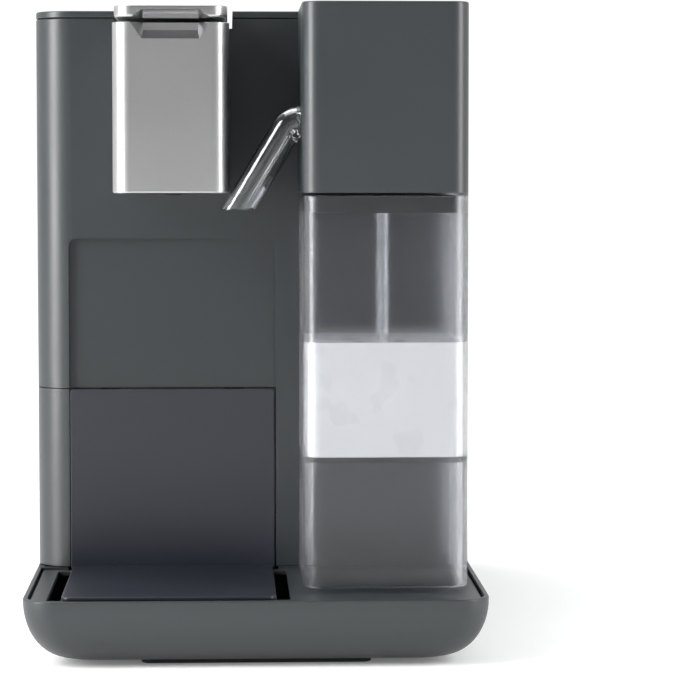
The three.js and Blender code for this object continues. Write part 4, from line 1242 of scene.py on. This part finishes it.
    def bent(self, name: str, radius: float, start: float, trim: float, y: float, end: float
             ) -> bpy.types.Object:
        """A round bar along the spout's line: up its lean, then round the elbow to the level.

        Args:
            name: the object's name.
            radius: the bar's radius.
            start: how far below the elbow it begins.
            trim: how far short of the elbow's end it stops.
            y: the line's place across the machine.
            end: where the elbow ends, beside the milk head.

        Returns:
            The new object.
        """
        lean = math.radians(self.spout_lean)
        bend = self.spout_bend
        foot = Vector((end - bend * math.cos(lean), y, self.spout_height - bend * (1 - math.sin(lean))))
        up = Vector((math.sin(lean), 0, math.cos(lean)))
        stations = [(foot - up * start, lean), (foot, lean)]
        steps = 12
        sides = 48
        for step in range(1, steps + 1):
            angle = lean + (math.pi / 2 - lean) * step / steps
            place = foot + Vector((bend * (math.cos(lean) - math.cos(angle)), 0,
                                   bend * (math.sin(angle) - math.sin(lean))))
            stations.append((place, angle))
        stations[-1] = (stations[-1][0] - Vector((trim, 0, 0)), math.pi / 2)
        rings = []
        for place, angle in stations:
            across = Vector((math.cos(angle), 0, -math.sin(angle)))
            ring = []
            for side in range(sides):
                turn = 2 * math.pi * side / sides
                outwards = across * (radius * math.cos(turn))
                ring.append(place + outwards + Vector((0, radius * math.sin(turn), 0)))
            rings.append(ring)
        return loft(name, rings)

    def spout(self) -> None:
        """Builds the spout: a clear tube that leans, flat-cut at its tip, with an elbow at the head."""
        low, high = corners("milk_spout")
        y = (low.y + high.y) / 2
        end = corners("milk_head")[0].x - RUN
        spout = self.bent("milk_spout_clear", self.spout_radius, 60 * MM, 0.0, y, end)
        level = box_cutter(-0.1, 0.1, y - 0.05, y + 0.05, 0.05, self.spout_tip)
        bore = self.bent("cutter", self.spout_radius - self.spout_wall, 62 * MM, 0.9 * MM, y, end - 0.6 * MM)
        cut(spout, level, bore)
        pivot = Vector((0, y, self.spigot_height))
        plug = turned("plug", bolster(self.spout_radius - 0.4 * MM, end - 1.6 * MM, end, 0.3 * MM),
                      Vector((0, y, self.spout_height)), Axis.X)
        spigot = turned("spigot", bolster(3.0 * MM, end - 1.2 * MM, high.x, 0.4 * MM), pivot, Axis.X)
        hook = Vector((end - 2.6 * MM, y, 242.9 * MM))
        eye = turned("eye", bolster(2.6 * MM, -4 * MM, 4 * MM, 0.5 * MM), hook, Axis.Y, 32)
        fuse(spout, plug, spigot, eye)
        across = turned("cutter", [(2 * MM, end - 5 * MM), (2 * MM, high.x + 5 * MM)], pivot, Axis.X, 32)
        pin = turned("cutter", [(1.2 * MM, -6 * MM), (1.2 * MM, 6 * MM)], hook, Axis.Y, 24)
        cut(spout, across, pin)
        self.fit(spout, Finish.CLEAR, "milk_spout")

    def build(self) -> None:
        """Builds every piece."""
        self.head()
        self.tank()
        self.lid()
        self.milk()
        self.intake()
        self.spout()


# ---------------------------------------------------------------- water tank
@dataclass
class WaterTank(Assembly):
    """The water tank at the back, with its hinged lid."""

    wall: float = 2.5 * MM
    corner: float = 8 * MM
    column_corner: float = 4 * MM
    lid_thickness: float = 4 * MM
    ear_width: float = 6 * MM
    ear_inset: float = 3 * MM

    def __post_init__(self) -> None:
        """Reads the tank's place."""
        self.low, self.high = corners("water_tank")
        pin_low, pin_high = corners("tank_lid_pin")
        self.pivot = (pin_low + pin_high) / 2

    def plan(self, front: float) -> Outline:
        """The tank's plan from a front line backwards."""
        return Outline((Corner(self.low.x, front, 0.6 * MM), Corner(self.high.x, front, 0.6 * MM),
                        Corner(self.high.x, self.high.y, self.column_corner),
                        Corner(self.low.x, self.high.y, self.corner)))

    def tank(self) -> None:
        """Builds the tank."""
        rim = self.high.z - self.lid_thickness - FIT
        tank = vessel("water_tank_shell", self.plan(self.low.y), self.low.z, rim, self.wall,
                      self.low.z + self.wall, 1.2 * MM)
        strip = box_cutter(self.low.x + 2 * MM, self.high.x - 2 * MM, self.low.y + 0.02 * MM,
                           self.low.y + self.wall - 0.02 * MM, rim - 4 * MM, self.high.z)
        ears = []
        for x in (self.low.x + self.ear_inset, self.high.x - self.ear_inset - self.ear_width):
            ears.append(box_cutter(x, x + self.ear_width, self.low.y + 1 * MM, self.pivot.y + 1.6 * MM,
                                   rim - 4 * MM, self.high.z - 0.6 * MM))
        fuse(tank, strip, *ears)
        pin = turned("cutter", [(1.15 * MM, -0.2), (1.15 * MM, 0.2)], self.pivot, Axis.X, 24)
        valve_low, valve_high = corners("tank_valve")
        valve = (valve_low + valve_high) / 2
        hole = turned("cutter", [(5.3 * MM, 0), (5.3 * MM, 0.05)], Vector((valve.x, valve.y, 0)), sides=32)
        cut(tank, pin, hole)
        self.fit(tank, Finish.TANK_SMOKE, "water_tank")

    def lid(self) -> None:
        """Builds the lid, with its hinge barrel and a finger recess at the back."""
        seat = self.high.z - self.lid_thickness
        lid = block("water_tank_lid_plate", self.plan(self.pivot.y), seat, self.high.z, 0.4 * MM, 0.8 * MM)
        gap = self.ear_inset + self.ear_width + RUN
        middle = (self.low.x + self.high.x) / 2
        half = (self.high.x - self.low.x) / 2 - gap
        barrel = turned("barrel", bolster(2 * MM, -half, half, 0.3 * MM),
                        Vector((middle, self.pivot.y, self.pivot.z)), Axis.X, 32)
        fuse(lid, barrel)
        notches = []
        for x0, x1 in ((self.low.x - PAST, self.low.x + gap), (self.high.x - gap, self.high.x + PAST)):
            notches.append(box_cutter(x0, x1, self.pivot.y - PAST, self.pivot.y + 2.5 * MM, seat - PAST,
                                      self.high.z + PAST))
        bore = turned("cutter", [(1.3 * MM, -0.2), (1.3 * MM, 0.2)], self.pivot, Axis.X, 24)
        valve = corners("tank_valve")
        x = (valve[0].x + valve[1].x) / 2
        grip = turned("cutter", bolster(9 * MM, -16 * MM, 16 * MM, 2 * MM),
                      Vector((x, self.high.y - 1 * MM, self.high.z + 7 * MM)), Axis.X)
        cut(lid, bore, grip, *notches)
        soften(lid, 0.25 * MM)
        self.fit(lid, Finish.BLACK, "water_tank_lid")

    def build(self) -> None:
        """Builds every piece."""
        self.tank()
        self.lid()


# ---------------------------------------------------------------- controls
@dataclass
class Controls(Assembly):
    """The four push buttons, and the parts that keep their frame shape."""

    dish: float = 0.45 * MM

    def buttons(self) -> None:
        """Builds the buttons, each with a dished top and a locating ring."""
        for key in ("short", "long", "milk", "rinse"):
            low, high = corners(f"button_{key}")
            middle = (low + high) / 2
            wide = (high.x - low.x) / 2
            cap = 7 * MM
            profile = [(0.05 * MM, low.z), (wide - 0.3 * MM, low.z), (wide, low.z + 0.3 * MM),
                       (wide, low.z + 2.1 * MM), (wide - 0.3 * MM, low.z + 2.4 * MM), (cap, low.z + 2.4 * MM),
                       (cap, high.z - 0.5 * MM), (cap - 0.15 * MM, high.z - 0.15 * MM),
                       (cap - 0.5 * MM, high.z)]
            for step in range(1, 9):
                across = (cap - 0.5 * MM) * (1 - step / 8)
                drop = self.dish * (1 - (across / (cap - 0.5 * MM)) ** 2)
                profile.append((max(across, 0.05 * MM), high.z - drop))
            button = turned(f"button_{key}_cap", profile, Vector((middle.x, middle.y, 0)))
            self.fit(button, Finish.BLACK, f"button_{key}")

    def keep(self) -> None:
        """Dresses the parts whose frame shape is already right."""
        kept = {
            Finish.BLACK: ("rear_panel", "mains_inlet", "switch_frame", "power_switch", "pod_chute",
                           "drawer_frame", "pod_bin", "milk_head_floor", "tank_socket"),
            Finish.STEEL: ("rear_screw_1", "rear_screw_2", "rear_screw_3", "rear_screw_4", "lever_pin",
                           "piercing_plate", "tank_lid_pin"),
            Finish.WHITE: ("brew_chamber", "froth_chamber", "tank_valve"),
            Finish.SILICONE: ("outlet_pipe", "hose_tank_pump", "hose_pump_heater", "hose_heater_brew",
                              "steam_hose"),
            Finish.CAST: ("milk_pump", "water_pump", "heater_block"),
            Finish.RUBBER: ("pump_mount_front", "pump_mount_rear"),
            Finish.BOARD: ("button_board", "control_board"),
        }
        for finish, nodes in kept.items():
            for node in nodes:
                self.shop.redress(node, finish)
                LOG.info("%s keeps its frame shape in %s", node, finish.name)

    def build(self) -> None:
        """Builds the buttons and dresses the rest."""
        self.buttons()
        self.keep()


# ---------------------------------------------------------------- studio
@dataclass
class Studio:
    """A pale floor, soft boxes and the camera."""

    lens: float = 148.9
    eye: Point3 = (-0.0126, -1.490, 0.2255)
    yaw: float = 2.41
    pitch: float = 3.52
    falloff: tuple[float, float, float, float] = (-0.70, 0.45, 0.05, 1.05)

    def camera(self) -> None:
        """Places the camera."""
        data = bpy.data.cameras.new("camera")
        data.lens = self.lens
        data.sensor_width = 36
        made = bpy.data.objects.new("camera", data)
        made.location = self.eye
        made.rotation_euler = (math.radians(90 - self.pitch), 0, math.radians(-self.yaw))
        bpy.context.scene.collection.objects.link(made)
        bpy.context.scene.camera = made

    def floor(self) -> None:
        """Lays the floor, which glows softly far from the machine so that it meets the surround unseen."""
        work = bmesh.new()
        bmesh.ops.create_circle(work, cap_ends=True, segments=96, radius=14.0)
        mesh = bpy.data.meshes.new("floor")
        work.to_mesh(mesh)
        work.free()
        plane = new_object("floor", mesh)
        paint = Paintbox("pale_floor")
        spot = paint.node("TexGradient", {"gradient_type": "SPHERICAL"},
                          Vector=paint.node("Mapping", Vector=paint.place(), Scale=(0.9, 0.9, 0.9)))
        glow = paint.node("ValToRGB", {"stops": ((0.0, 0.45), (0.35, 0.30), (0.75, 0.12))}, Fac=spot)
        cloud = paint.noise(0.4, 2.0)
        paint.set(Base_Color=paint.blend(cloud, (0.89, 0.89, 0.89), (0.91, 0.91, 0.91)), Roughness=0.7,
                  Emission_Color=glow, Emission_Strength=1.0)
        plane.data.materials.append(paint.material)

    def soft_box(self, name: str, place: Point3, aim: Point3,
                 size: tuple[float, float], power: float) -> None:
        """Hangs one soft box.

        Args:
            name: the light's name.
            place: where it hangs.
            aim: the point that it faces.
            size: its width and height.
            power: its power in watts.
        """
        data = bpy.data.lights.new(name, "AREA")
        data.shape = "RECTANGLE"
        data.size, data.size_y = size
        data.energy = power
        made = bpy.data.objects.new(name, data)
        made.location = place
        made.rotation_euler = (Vector(aim) - Vector(place)).to_track_quat("-Z", "Y").to_euler()
        bpy.context.scene.collection.objects.link(made)

    def world(self) -> None:
        """Sets a white surround that falls to grey in front of the machine."""
        world = bpy.data.worlds.new("studio")
        world.use_nodes = True
        tree = world.node_tree
        way = tree.nodes.new("ShaderNodeTexCoord")
        split = tree.nodes.new("ShaderNodeSeparateXYZ")
        ramp = tree.nodes.new("ShaderNodeMapRange")
        ramp.interpolation_type = "SMOOTHSTEP"
        for slot, value in zip(("From Min", "From Max", "To Min", "To Max"), self.falloff):
            ramp.inputs[slot].default_value = value
        tree.links.new(way.outputs["Generated"], split.inputs[0])
        tree.links.new(split.outputs["Y"], ramp.inputs["Value"])
        tree.links.new(ramp.outputs[0], tree.nodes["Background"].inputs["Strength"])
        tree.nodes["Background"].inputs["Color"].default_value = (1, 1, 1, 1)
        bpy.context.scene.world = world

    def build(self) -> None:
        """Sets the whole studio."""
        bpy.context.scene.view_settings.view_transform = "Standard"
        self.camera()
        self.floor()
        self.world()
        self.soft_box("left_box", (-1.25, -0.70, 0.60), (0, 0, 0.17), (0.55, 1.5), 46)
        self.soft_box("right_box", (1.30, -0.70, 0.60), (0, 0, 0.17), (0.45, 1.5), 27)
        self.soft_box("top_box", (-0.6, 0.3, 2.0), (0, 0, 0.1), (1.4, 1.4), 22)
        LOG.info("studio set")


def main() -> None:
    """Builds every assembly in order."""
    logging.basicConfig(level=logging.INFO, format="%(name)s: %(message)s")
    shop = Workshop()
    Studio().build()
    for kind in (Body, Base, CupStand, BrewHead, MilkUnit, WaterTank, Controls):
        kind(shop).build()


if __name__ == "__main__":
    main()
